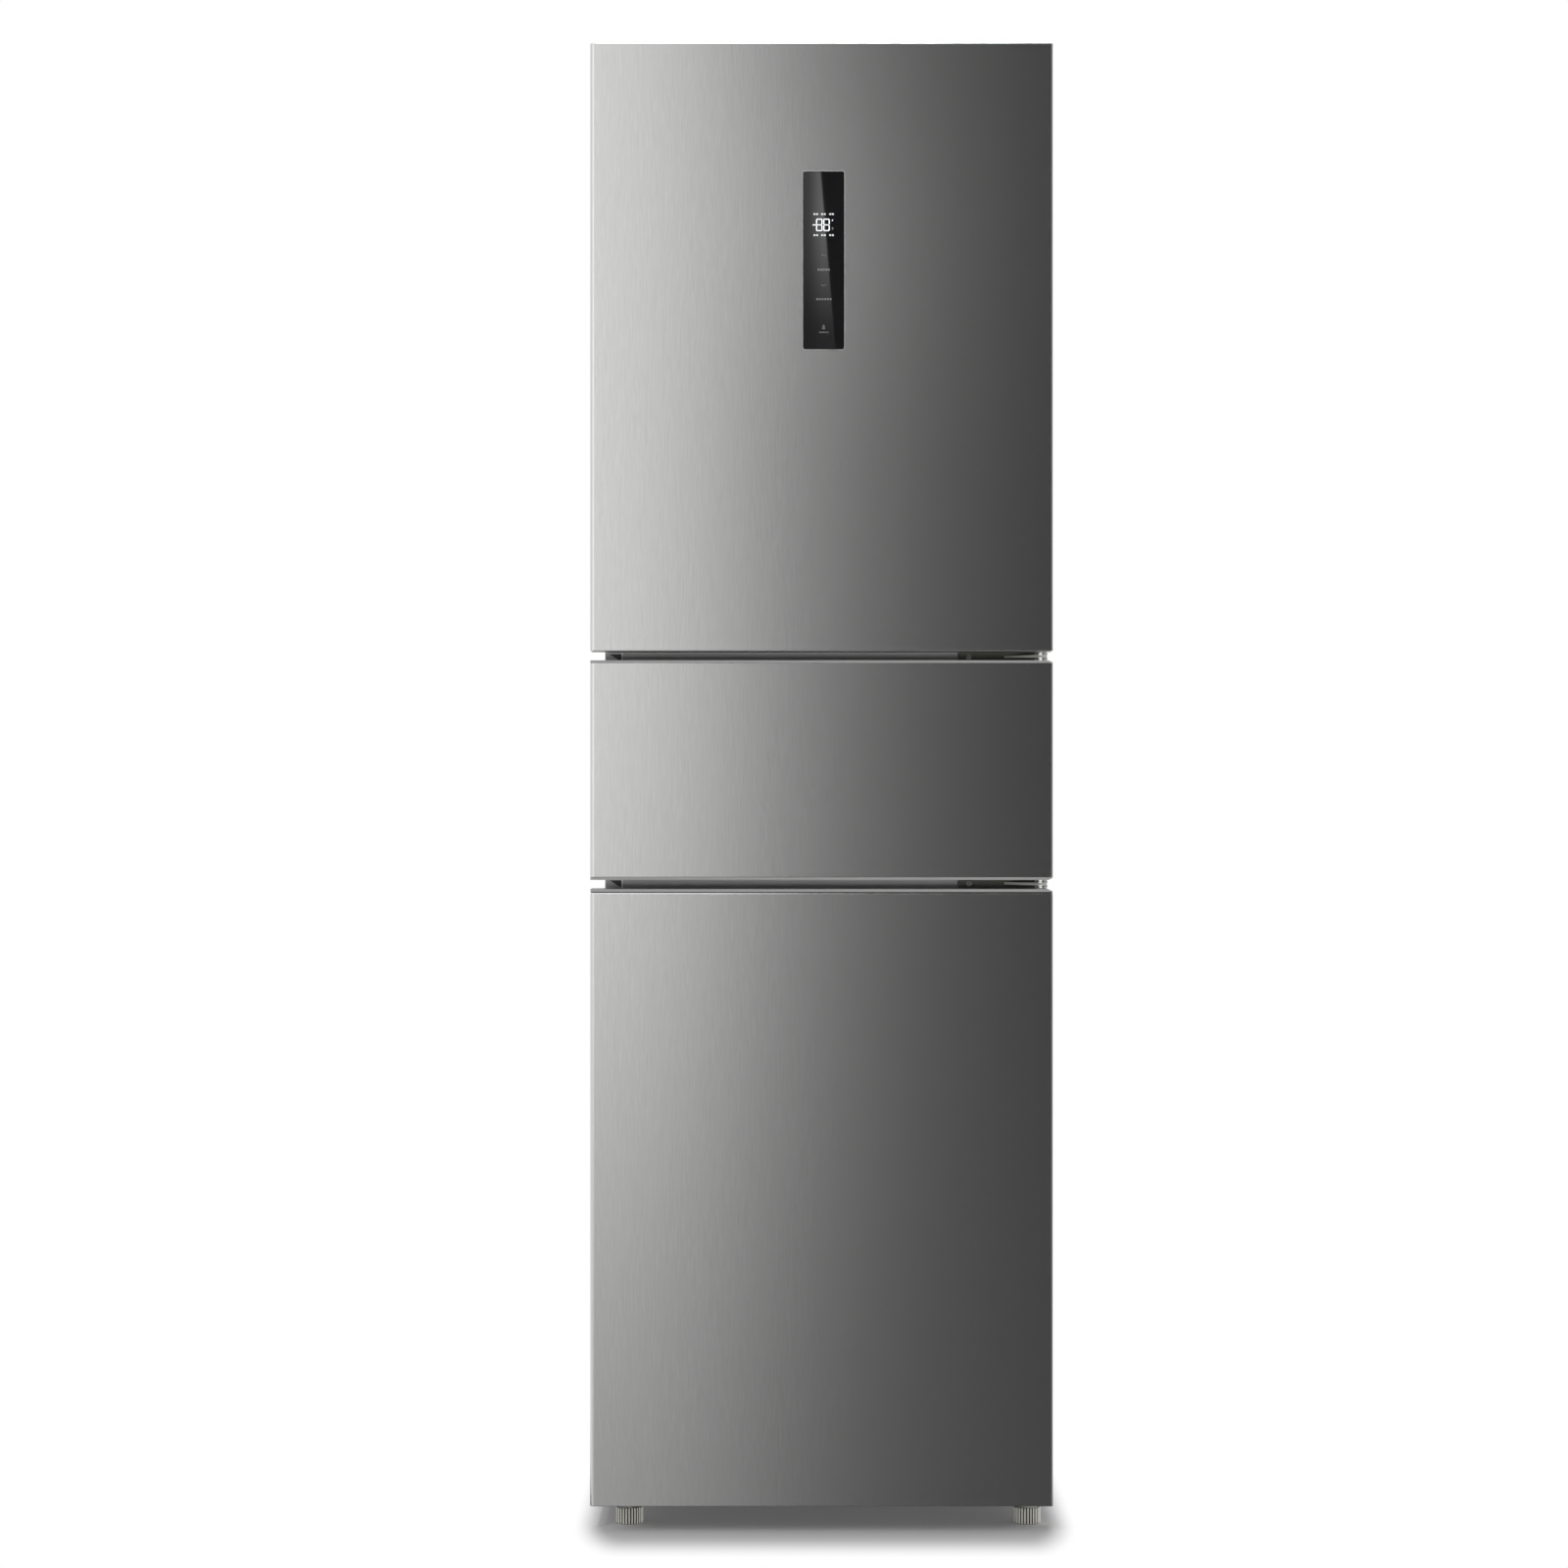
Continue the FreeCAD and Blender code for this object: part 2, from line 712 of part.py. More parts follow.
def liners():
    """The three moulded compartments, their front lips and shelf ribs, and the foam round them."""
    lip = "(partition - beam_height) / 2"
    rooms = (
        ("fridge", "fridge_bottom", "fridge_top", f"fridge_bottom - {lip}", "cabinet_top - flange"),
        ("middle", "chill_bottom", "chill_top", f"chill_bottom - {lip}", f"chill_top + {lip}"),
        ("freezer", "freezer_bottom", "freezer_top", "base_top + flange", f"freezer_top + {lip}"),
    )
    shelf_depth = ("rib_start", "room_back")
    shelf_steps = range(int(value("shelf_count")))
    shelf_ribs = [(f"crisper_level + shelf_rise * {step}", "rib_reach", shelf_depth) for step in shelf_steps]
    reach = "drawer_side + freezer_pitch * tan(drawer_draft) + rib_reach"
    drawer_ribs = [
        ("step_top", reach, ("drawer_start", "step_front + liner / 2")),
        ("step_top + freezer_pitch", reach, ("drawer_start", "cold_front - ear_gap")),
    ]
    ribs = {"fridge": shelf_ribs, "middle": [], "freezer": drawer_ribs}
    outsides = []
    for name, bottom, top, lip_bottom, lip_top in rooms:
        hollow, outside = room(name, bottom, top, name == "freezer")
        outsides.append(outside)
        rim = box(f"{name}_rim", both("beam_half"), ("cabinet_front", "frame_back"), (lip_bottom, lip_top))
        tray = cut(f"{name}_tray", fuse(f"{name}_blank", [outside, rim]), [hollow])
        bars = []
        for level, width, depth in ribs[name]:
            for side in (-1, 1):
                across = mirror(side, f"room_half - ({width})", "room_half + liner / 2")
                bars.append(box(f"{name}_rib", across, depth, (f"{level} - rib_height", level)))
        node(f"{name}_liner", fuse(f"{name}_liner", [tray] + bars) if bars else tray)
    fill = box(
        "fill",
        both("inside_half"),
        ("frame_back", "back - sheet"),
        ("base_top", "cabinet_top - sheet"),
    )
    machine = box(
        "machine_space",
        both("cabinet_half"),
        ("machine_front - sheet", "back"),
        ("floor_gap", "machine_top + sheet"),
    )
    node("cabinet_foam", cut("cabinet_foam", fill, outsides + [machine]))


def hinge_nose(name, back_y, left, right, span):
    """A hinge plate that narrows forward to a blunt nose about the pin."""
    tip = "hinge_y - hinge_nose"
    outline = [
        ("hinge_x - hinge_nose + hinge_cut", tip),
        ("hinge_x", tip),
        ("hinge_x + hinge_outer", f"{tip} + hinge_cut"),
        ("hinge_x + hinge_outer", "hinge_y + hinge_nose"),
        (right, "cabinet_front - hinge_plate"),
        (right, back_y),
        (left, back_y),
        (left, "cabinet_front - hinge_plate"),
        ("hinge_x - hinge_nose", f"{tip} + hinge_cut"),
    ]
    return prism(name, "z", [outline], span)


def pin(name, span):
    """A hinge pin."""
    return cylinder(name, "z", ("hinge_x", "hinge_y"), span, "pin_radius")


def hinges():
    """Four hinges in one line, and the cover of the top one."""
    seat_back = "cabinet_front + hinge_seat"
    seat_left = "hinge_right - hinge_seat"
    top_span = ("cabinet_top", "cabinet_top + hinge_plate")
    top_plate = hinge_nose("top_plate", seat_back, seat_left, "hinge_right", top_span)
    top_pin = pin("top_pin", ("upper_top - pin_reach", "cabinet_top"))
    node("top_hinge", fuse("top_hinge", [top_plate, top_pin]))
    for label, middle in (("upper_middle_hinge", "upper_beam"), ("lower_middle_hinge", "lower_beam")):
        arm_span = spread(middle, "hinge_plate / 2")
        arm = hinge_nose(f"{label}_arm", "cabinet_front", "hinge_x - hinge_arm", "hinge_right", arm_span)
        mount = box(
            f"{label}_mount",
            ("hinge_left", "hinge_right"),
            ("cabinet_front - hinge_plate", "cabinet_front"),
            spread(middle, "hinge_mount / 2"),
        )
        rod = pin(f"{label}_pin", spread(middle, "door_gap / 2 + pin_reach"))
        node(label, fuse(label, [arm, mount, rod]))
    low = ("floor_gap - end_gap - hinge_plate", "floor_gap - end_gap")
    nose = hinge_nose("bottom_nose", "cabinet_front", "hinge_x - hinge_arm", "hinge_right", low)
    riser = box(
        "bottom_riser",
        ("hinge_x - hinge_arm", "hinge_right"),
        ("cabinet_front - hinge_plate", "cabinet_front"),
        (low[0], "cabinet_bottom"),
    )
    seat = box(
        "bottom_seat",
        (seat_left, "hinge_right"),
        ("cabinet_front - hinge_plate", seat_back),
        ("cabinet_bottom - hinge_plate", "cabinet_bottom"),
    )
    foot = ("foot_right", "foot_y")
    socket_span = ("cabinet_bottom - stud_socket", "cabinet_bottom")
    nut = hexagon("bottom_nut", "z", foot, socket_span, "stud_nut")
    socket = cylinder("bottom_socket", "z", foot, socket_span, "stud_radius + pin_clear")
    bottom_pin = pin("bottom_pin", (low[1], "floor_gap + pin_reach"))
    blank = fuse("bottom_blank", [nose, riser, seat, nut, bottom_pin])
    node("bottom_hinge", cut("bottom_hinge", blank, [socket]))
    hinge_cover(seat_left, seat_back)


def hinge_cover(left, back_y):
    """The hollow cap over the top hinge, low at its front so that the door hides it."""
    parts = []
    for name, wall in (("cover_outside", "0"), ("cover_hollow", "cover_wall")):
        low = "cabinet_top" if wall == "0" else "cabinet_top - cover_wall"
        outline = [
            (f"cabinet_front - cover_front + {wall}", low),
            (f"{back_y} + cover_step - {wall}", low),
            (f"{back_y} + cover_step - {wall}", f"cabinet_top + cover_height - {wall}"),
            ("cabinet_front - cover_front + cover_slope", f"cabinet_top + cover_height - {wall}"),
            (f"cabinet_front - cover_front + {wall}", f"cabinet_top + cover_step - {wall} * cover_share"),
        ]
        across = (f"{left} - cover_step + {wall}", f"cabinet_half - {wall}")
        parts.append(prism(name, "x", [outline], across))
    mouth = box(
        "cover_mouth",
        (f"{left} - cover_step + cover_wall", "half_width"),
        ("cabinet_front - cover_front - cover_wall", "cabinet_front"),
        ("cabinet_top - cover_wall", "cabinet_top + hinge_plate + slide_clear"),
    )
    node("hinge_cover", cut("hinge_cover", parts[0], [parts[1], mouth]))


def machine():
    """The compressor on its rubber mounts, the tray above it and the louvred cover behind it."""
    pot = rounded_box(
        "pot",
        "z",
        spread("compressor_right", "compressor_half_x"),
        spread("compressor_y", "compressor_half_y"),
        ("compressor_bottom", "compressor_top"),
        "compressor_curve",
    )
    rail = box(
        "mount_rail",
        spread("compressor_right", "mount_half_x"),
        spread("compressor_y", "mount_half_y"),
        ("mount_bottom", "compressor_bottom"),
    )
    side = "compressor_right - compressor_half_x"
    terminal = box(
        "terminal_box",
        spread(side, "terminal_reach"),
        spread("compressor_y", "terminal_half"),
        ("compressor_bottom + terminal_rise", "compressor_bottom + terminal_rise + terminal_height"),
    )
    grommets = []
    for side in (-1, 1):
        for end in (-1, 1):
            spot = (
                f"compressor_right + {side} * (mount_half_x - mount_corner)",
                f"compressor_y + {end} * (mount_half_y - mount_corner)",
            )
            grommets.append(hexagon("grommet", "z", spot, ("base_top", "mount_bottom"), "grommet_reach"))
    node("compressor", fuse("compressor", [pot, rail, terminal]))
    node("compressor_grommets", group("compressor_grommets", grommets))
    tray_x = spread("compressor_right", "tray_half_x")
    tray_y = spread("compressor_y", "tray_half_y")
    tray_z = ("compressor_top", "compressor_top + tray_height")
    basin = box(
        "tray_basin",
        spread("compressor_right", "tray_half_x - tray_wall"),
        spread("compressor_y", "tray_half_y - tray_wall"),
        (f"{tray_z[0]} + tray_wall", tray_z[1]),
    )
    tray = cut("drip_tray", box("tray_block", tray_x, tray_y, tray_z), [basin])
    node("drip_tray", tray)
    cover = prism(
        "compressor_cover",
        "y",
        [rectangle(both("inside_half"), ("base_top", "machine_top"))],
        ("back - sheet", "back"),
    )
    columns = [
        spread(f"{side} * (louvre_width + louvre_gap) / 2", "louvre_width / 2") for side in (-1, 1)
    ]
    lowest = "base_top + louvre_start"
    slots(cover, "-back", columns, "louvre_height", lowest, "louvre_pitch", "louvre_rows", "back")
    node("compressor_cover", cover)


def shelves():
    """Glass shelves in their front trims, the duct behind them and the lamp above."""
    plates = []
    trims = []
    for step in range(int(value("shelf_count"))):
        level = f"crisper_level + shelf_rise * {step}"
        glass_top = f"{level} + shelf_glass"
        across = both("room_half - shelf_side")
        plates.append(
            box("shelf_plate", across, ("shelf_front", "room_back - shelf_back"), (level, glass_top))
        )
        trim_front = "shelf_front - trim_lip"
        trim_foot = f"{level} - trim_lip"
        trim_head = f"{glass_top} + trim_lip"
        channel = [
            (trim_front, f"{trim_foot} + trim_bevel"),
            (f"{trim_front} + trim_bevel", trim_foot),
            ("shelf_front + trim_reach", trim_foot),
            ("shelf_front + trim_reach", level),
            ("shelf_front", level),
            ("shelf_front", glass_top),
            ("shelf_front + trim_reach", glass_top),
            ("shelf_front + trim_reach", trim_head),
            (f"{trim_front} + trim_bevel", trim_head),
            (trim_front, f"{trim_head} - trim_bevel"),
        ]
        trim = prism("shelf_trim", "x", [channel], across)
        trims.append(trim)
    node("fridge_shelves", group("fridge_shelves", plates))
    node("shelf_trims", group("shelf_trims", trims))
    duct = prism(
        "duct_cover",
        "y",
        [rectangle(both("duct_half"), ("crisper_level + duct_rise", "fridge_top - duct_rise"))],
        ("room_back - duct_depth", "room_back"),
    )
    slots(
        duct,
        "-(room_back - duct_depth)",
        [both("duct_slot / 2")],
        "duct_slot_height",
        "crisper_level + duct_rise + duct_pitch",
        "duct_pitch",
        "duct_rows",
        "duct_depth",
    )
    node("duct_cover", duct)
    lens = [
        ("-lamp_half", "fridge_top"),
        ("lamp_slope - lamp_half", "fridge_top - lamp_drop"),
        ("lamp_half - lamp_slope", "fridge_top - lamp_drop"),
        ("lamp_half", "fridge_top"),
    ]
    lamp = prism("lamp_cover", "y", [lens], ("shelf_front", "shelf_front + lamp_depth"))
    node("lamp_cover", lamp)


def cold_air():
    """The freezer's back panel, with the evaporator behind it."""
    panel_top = "freezer_top - slide_clear"
    panel = prism(
        "cold_panel",
        "y",
        [rectangle(both("room_half - slide_clear"), ("step_top + slide_clear", panel_top))],
        ("cold_front", "cold_back"),
    )
    dress(panel, edges(panel, "y", z=value(panel_top)), "room_corner")
    columns = [spread(f"{side} * (vent_width / 2 + louvre_gap / 2)", "vent_width / 2") for side in (-1, 1)]
    lowest = "freezer_top - vent_drop - vent_rows * vent_pitch"
    slots(panel, "-cold_front", columns, "vent_height", lowest, "vent_pitch", "vent_rows", "cold_depth")
    node("freezer_back_panel", panel)
    fins = doc.addObject("PartDesign::Body", "fins")
    depth = ("cold_back + coil_gap", "room_back - coil_gap")
    first = "-fin_pitch * (fin_count - 1) / 2 - fin_thickness / 2"
    sketch = draw(fins, "x", [rectangle(depth, ("coil_bottom", "coil_top"))], first)
    fin = feature(fins, "Pad", sketch, "fin_thickness")
    repeat_along(fins, fin, sketch, "N_Axis", "fin_pitch", "fin_count")
    seat = box("coil_seat", both("coil_half"), depth, ("step_top", "coil_bottom"))
    node("evaporator", fuse("evaporator", [fins, seat]))


def drawer(label, rim_half, y, z):
    """A drafted drawer with a flat front and a finger slot under its top edge."""
    reach = (f"{y[0]} + slide_clear", y[1])
    bowl = tub(f"{label}_bowl", both(rim_half), reach, z, "drawer_wall", "drawer_corner", "drawer_draft")
    face = prism(f"{label}_face", "y", [rectangle(both(rim_half), z)], (y[0], f"{y[0]} + drawer_front"))
    dress(face, edges(face, "y", z=value(z[0])), "drawer_corner")
    slot_top = f"{z[1]} - slot_drop"
    slot_foot = f"{slot_top} - slot_height"
    finger = [
        ("-slot_half", slot_top),
        ("slot_half", slot_top),
        ("slot_half - slot_height / 2", slot_foot),
        ("slot_height / 2 - slot_half", slot_foot),
    ]
    slot = prism(f"{label}_slot", "y", [finger], (f"{y[0]} - drawer_front", f"{y[0]} + slot_reach"))
    node(label, cut(label, fuse(f"{label}_blank", [bowl, face]), [slot]))


def drawers():
    """The crisper, the middle drawer and the three freezer drawers."""
    drawer(
        "crisper_drawer",
        "room_half - crisper_side",
        ("shelf_front", "room_back - drawer_rear"),
        ("fridge_bottom + slide_clear", "crisper_level - rib_height - slide_clear"),
    )
    rim = "room_half - drawer_side"
    drawer(
        "middle_drawer",
        rim,
        ("drawer_start", "room_back - drawer_rear"),
        ("chill_bottom + slide_clear", "chill_top - drawer_head"),
    )
    ceiling = "rib_height + slide_clear"
    upper = "step_top + freezer_pitch"
    deep = ("drawer_start", "cold_front - drawer_rear")
    stack = (
        (
            "freezer_drawer_upper",
            deep,
            f"{upper} + slide_clear",
            f"freezer_top - {ceiling} - drawer_corner / 2",
        ),
        ("freezer_drawer_middle", deep, "step_top + slide_clear", f"{upper} - ({ceiling})"),
        (
            "freezer_drawer_lower",
            ("drawer_start", "step_front - drawer_rear"),
            "freezer_bottom + slide_clear",
            f"step_top - ({ceiling})",
        ),
    )
    for label, reach, low, high in stack:
        drawer(label, rim, reach, (low, high))


def feet():
    """Two fluted levelling feet on their studs, and two rear rollers."""
    profile = [
        ("0", "0"),
        ("foot_radius", "0"),
        ("foot_radius", "foot_height"),
        ("stud_radius", "foot_height"),
        ("stud_radius", "cabinet_bottom - stud_end"),
        ("0", "cabinet_bottom - stud_end"),
    ]
    for label, place in (("left_foot", "-foot_left"), ("right_foot", "foot_right")):
        foot = revolved(label, profile)
        notch = [
            ("foot_radius - flute_depth", "0"),
            ("foot_radius + flute_depth", "-flute_reach"),
            ("foot_radius + flute_depth", "flute_reach"),
        ]
        flute = feature(foot, "Pocket", draw(foot, "z", [notch]), "foot_height", Reversed=True)
        repeat_round(foot, flute, "foot_flutes")
        node(label, put(foot, place, "foot_y", "0"))
    bore = "axle_radius + pin_clear"
    wheel = [
        (bore, "0"),
        ("roller_radius", "0"),
        ("roller_radius", "roller_width"),
        (bore, "roller_width"),
    ]
    for label, side in (("left_roller", -1), ("right_roller", 1)):
        start = f"{side} * roller_x - roller_width / 2"
        node(label, put(revolved(label, wheel), start, "roller_y", "roller_radius", "x"))


def cap_trims(name, edge, way):
    """What a cap that shows loses: a bevel along the front and a slant at the hinge corner."""
    depth = inward(edge, way, "0", "cap_bevel")[way > 0]
    nick = [("front", edge), ("front + cap_bevel", edge), ("front", depth)]
    bevel = prism(f"{name}_bevel", "x", [nick], both("half_width"))
    drop = inward(edge, way, "0", "cap_drop")[way > 0]
    corner = [("half_width", edge), ("half_width - cap_slant", edge), ("half_width", drop)]
    slant = prism(f"{name}_slant", "y", [corner], ("front", "door_back"))
    return [bevel, slant]


def end_cap(name, edge, way, cover):
    """One end of a door: the blank that displaces foam, and the cap bored for its hinge pin.

    A cap under the skin lies within its fold. A cap that shows is trimmed.
    """
    plate = prism(
        f"{name}_plate",
        "z",
        [rectangle(both("half_width"), ("front", "door_back"))],
        inward(edge, way, "0", "cap_lip"),
    )
    dress(plate, edges(plate, "z", y=value("front")), "skin_bend")
    skirt_x = ("grip_inner", "half_width - sheet - cap_inset")
    skirt_y = ("front + sheet + cap_inset", "door_back - liner")
    skirt_z = inward(edge, way, "cap_lip", "cap_lip + cap_depth")
    skirt = box(f"{name}_skirt", skirt_x, skirt_y, skirt_z)
    hollow = box(
        f"{name}_hollow",
        (f"{skirt_x[0]} + cap_wall", f"{skirt_x[1]} - cap_wall"),
        (f"{skirt_y[0]} + cap_wall", f"{skirt_y[1]} - cap_wall"),
        skirt_z,
    )
    boss_z = inward(edge, way, "cap_lip", "pin_reach + bore_spare * 2")
    boss = box(f"{name}_boss", spread("hinge_x", "boss_half"), spread("hinge_y", "boss_half"), boss_z)
    rim = cut(f"{name}_face", plate, [cover] if cover else cap_trims(name, edge, way))
    blank = fuse(f"{name}_blank", [rim, cut(f"{name}_ring", skirt, [hollow]), boss])
    bore = cylinder(
        f"{name}_bore",
        "z",
        ("hinge_x", "hinge_y"),
        inward(edge, way, "0", "pin_reach + bore_spare"),
        "pin_radius + pin_clear",
    )
    return blank, cut(f"{name}_cap", blank, [bore])


def door_skin(door, span):
    """The folded steel front of a door, wide open at the back and short on the grip side."""
    outline = [
        ("-half_width", "front"),
        ("half_width", "front"),
        ("half_width", "door_back - liner"),
        ("half_width - sheet", "door_back - liner"),
        ("half_width - sheet", "front + sheet"),
        ("sheet - half_width", "front + sheet"),
        ("sheet - half_width", "grip_start"),
        ("-half_width", "grip_start"),
    ]
    skin = prism(f"{door}_skin", "z", [outline], span)
    dress(skin, edges(skin, "z", y=value("front")), "skin_bend")
    dress(skin, edges(skin, "z", y=value("front + sheet")), "skin_bend - sheet")
    return skin


def door_grip(door, span):
    """The profile down the free side of a door, with a groove for the fingers."""
    groove_front = "grip_start + grip_front"
    groove_back = f"{groove_front} + grip_groove"
    floor = "grip_reach - half_width"
    outline = [
        ("-half_width", "grip_start"),
        ("grip_inner", "grip_start"),
        ("grip_inner", "door_back"),
        ("-half_width", "door_back"),
        ("-half_width", groove_back),
        (floor, groove_back),
        (floor, groove_front),
        ("-half_width", groove_front),
    ]
    grip = prism(f"{door}_grip", "z", [outline], span)
    dress(grip, edges(grip, "z", x=value(floor)), "grip_scoop")
    mouth = edges(grip, "z", x=value("-half_width"), y=value(groove_back))
    rear = edges(grip, "z", x=value("-half_width"), y=value("door_back"))
    dress(grip, mouth + rear, "grip_edge")
    return grip


def door_dyke(door, room_bottom, room_top):
    """The ridge round a door's inside, and the hollow in it that foam fills."""
    z = (f"{room_bottom} + dyke_clear", f"{room_top} - dyke_clear")
    ridge_y = ("door_back - liner", "door_back + dyke_height")
    ridge = frame(f"{door}_ridge", "dyke_half", z, "dyke_width", ridge_y)
    crest = edges(ridge, None, y=value("door_back + dyke_height"))
    dress(ridge, crest, "dyke_round")
    core = frame(
        f"{door}_core",
        "dyke_half - liner",
        (f"{z[0]} + liner", f"{z[1]} - liner"),
        "dyke_width - 2 * liner",
        ("door_back - liner", "door_back + dyke_height - liner"),
    )
    return ridge, core


def door_gasket(door, z):
    """The folded seal: a foot on the door, a narrow neck and the magnet strip."""
    layers = (
        ("foot", "0", "door_back", "door_back + gasket_foot"),
        ("neck", "gasket_fold", "door_back + gasket_foot", "door_back + gasket_neck"),
        ("head", "gasket_nib", "door_back + gasket_neck", "cabinet_front - seal_clear"),
    )
    rings = []
    for name, inset, near, far in layers:
        ring = frame(
            f"{door}_gasket_{name}",
            f"gasket_half - {inset}",
            (f"{z[0]} + {inset}", f"{z[1]} - {inset}"),
            f"gasket_width - 2 * {inset}",
            (near, far),
        )
        rings.append(ring)
    return fuse(f"{door}_gasket", rings)


def bins():
    """The upper door's three bins, and the lugs that they hang on."""
    baskets = []
    lugs = []
    for step in range(int(value("bin_count"))):
        level = f"bin_bottom + bin_pitch * {step}"
        basket = tub(
            "basket",
            both("bin_half"),
            ("door_back + bin_gap", "door_back + bin_depth"),
            (level, f"{level} + bin_height"),
            "bin_wall",
            "bin_corner",
            "bin_draft",
        )
        hang = f"{level} + lug_rise + lug_height"
        depth = ("door_back + lug_start", "door_back + lug_start + lug_depth")
        hooks = []
        for side in (-1, 1):
            across = mirror(side, "dyke_inner - lug_reach", "dyke_inner + liner / 2")
            lugs.append(box("lug", across, depth, (f"{level} + lug_rise", hang)))
            catch = mirror(side, "bin_half - bin_wall - lug_start / 2", "dyke_inner - bin_gap")
            hooks.append(box("hook", catch, depth, (hang, f"{hang} + ear_height")))
        baskets.append(fuse("bin", [basket] + hooks))
    return baskets, lugs


def display():
    """The display in the upper door: its tray, the black glass and the circuit board."""
    width = "display_width / 2"
    height = "display_height / 2"

    def outline(inset):
        return spread("display_right", f"{width} - ({inset})"), spread("display_z", f"{height} - ({inset})")

    def pane(name, inset, y, corner):
        x, z = outline(inset)
        return rounded_box(name, "y", x, y, z, corner)

    floor = "front + display_depth - display_floor"
    seat_y = ("front", "front + display_glass")
    rim = pane("display_rim", "-display_bezel", ("front", "front + sheet"), "display_corner + display_bezel")
    body_x, body_z = outline("-display_bezel")
    body = box("display_body", body_x, ("front + sheet", "front + display_depth"), body_z)
    seat = pane("display_seat", "0", seat_y, "display_corner")
    glass = pane("display_glass_pane", "0", seat_y, "display_corner")
    well_x, well_z = outline("display_ledge")
    hollow = box("display_hollow", well_x, (seat_y[1], floor), well_z)
    board_x, board_z = outline("display_ledge + board_gap")
    board = box("display_board_plate", board_x, (f"{floor} - board_thickness", floor), board_z)
    outside = fuse("display_outside", [rim, body])
    node("display_housing", cut("display_housing", outside, [seat, hollow]))
    node("display_glass", glass)
    node("display_board", board)
    return rim, body


def doors():
    """The three doors, each with its skin, caps, grip, foam, liner and gasket.

    The skin runs over the ends of the upper door and the foot of the lower one.
    """
    table = (
        ("upper", "fridge_bottom", "fridge_top", "upper_bottom", (True, True)),
        ("middle", "chill_bottom", "chill_top", "middle_bottom", (False, False)),
        ("lower", "freezer_bottom", "freezer_top", "cabinet_bottom", (True, False)),
    )
    baskets, lugs = bins()
    window, tray_body = display()
    for door, room_bottom, room_top, seal_floor, (low_covered, high_covered) in table:
        bottom, top = f"{door}_bottom", f"{door}_top"
        span = (f"{bottom} + cap_lip", f"{top} - cap_lip")
        skin = door_skin(door, (bottom if low_covered else span[0], top if high_covered else span[1]))
        blank_low, low = end_cap(f"{door}_low", bottom, 1, skin if low_covered else None)
        blank_high, high = end_cap(f"{door}_high", top, -1, skin if high_covered else None)
        node(f"{door}_door_end_caps", group(f"{door}_caps", [low, high]))
        node(f"{door}_door_grip", door_grip(door, span))
        fill_outline = [
            ("sheet - half_width", "front + sheet"),
            ("half_width - sheet", "front + sheet"),
            ("half_width - sheet", "door_back - liner"),
            ("grip_inner", "door_back - liner"),
            ("grip_inner", "grip_start"),
            ("sheet - half_width", "grip_start"),
        ]
        fill = prism(f"{door}_fill", "z", [fill_outline], span)
        dress(fill, edges(fill, "z", y=value("front + sheet")), "skin_bend - sheet")
        ridge, core = door_dyke(door, room_bottom, room_top)
        plate = box(f"{door}_plate", ("grip_inner", "half_width"), ("door_back - liner", "door_back"), span)
        extra = lugs if door == "upper" else []
        shell_blank = fuse(f"{door}_liner_blank", [plate, ridge])
        tray = cut(f"{door}_liner_tray", shell_blank, [core])
        node(f"{door}_door_liner", fuse(f"{door}_liner_lugs", [tray] + extra) if extra else tray)
        taken = [blank_low, blank_high] + ([tray_body] if door == "upper" else [])
        node(f"{door}_door_foam", fuse(f"{door}_foam", [cut(f"{door}_foam_block", fill, taken), core]))
        node(f"{door}_door_skin", cut(f"{door}_skin_cut", skin, [window]) if door == "upper" else skin)
        seal = (f"{seal_floor} + gasket_margin", f"{top} - gasket_margin")
        node(f"{door}_door_gasket", door_gasket(door, seal))
    node("door_bins", group("door_bins", baskets))


side_panels()
shell()
base()
liners()
hinges()
machine()
shelves()
cold_air()
drawers()
feet()
doors()
doc.recompute()

os.makedirs("parts", exist_ok=True)
for thing in doc.Objects:
    faults = {"Invalid", "Error"} & set(thing.State)
    if faults:
        raise RuntimeError(f"{thing.Label} is {', '.join(faults)}")
for piece in nodes:
    if piece.Shape.isNull() or not piece.Shape.isValid():
        raise RuntimeError(f"{piece.Label} has no sound shape")
    piece.Shape.exportStep(f"parts/{piece.Label}.step")
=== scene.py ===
import json
import math

import bmesh
import bpy
from mathutils import Matrix, Vector


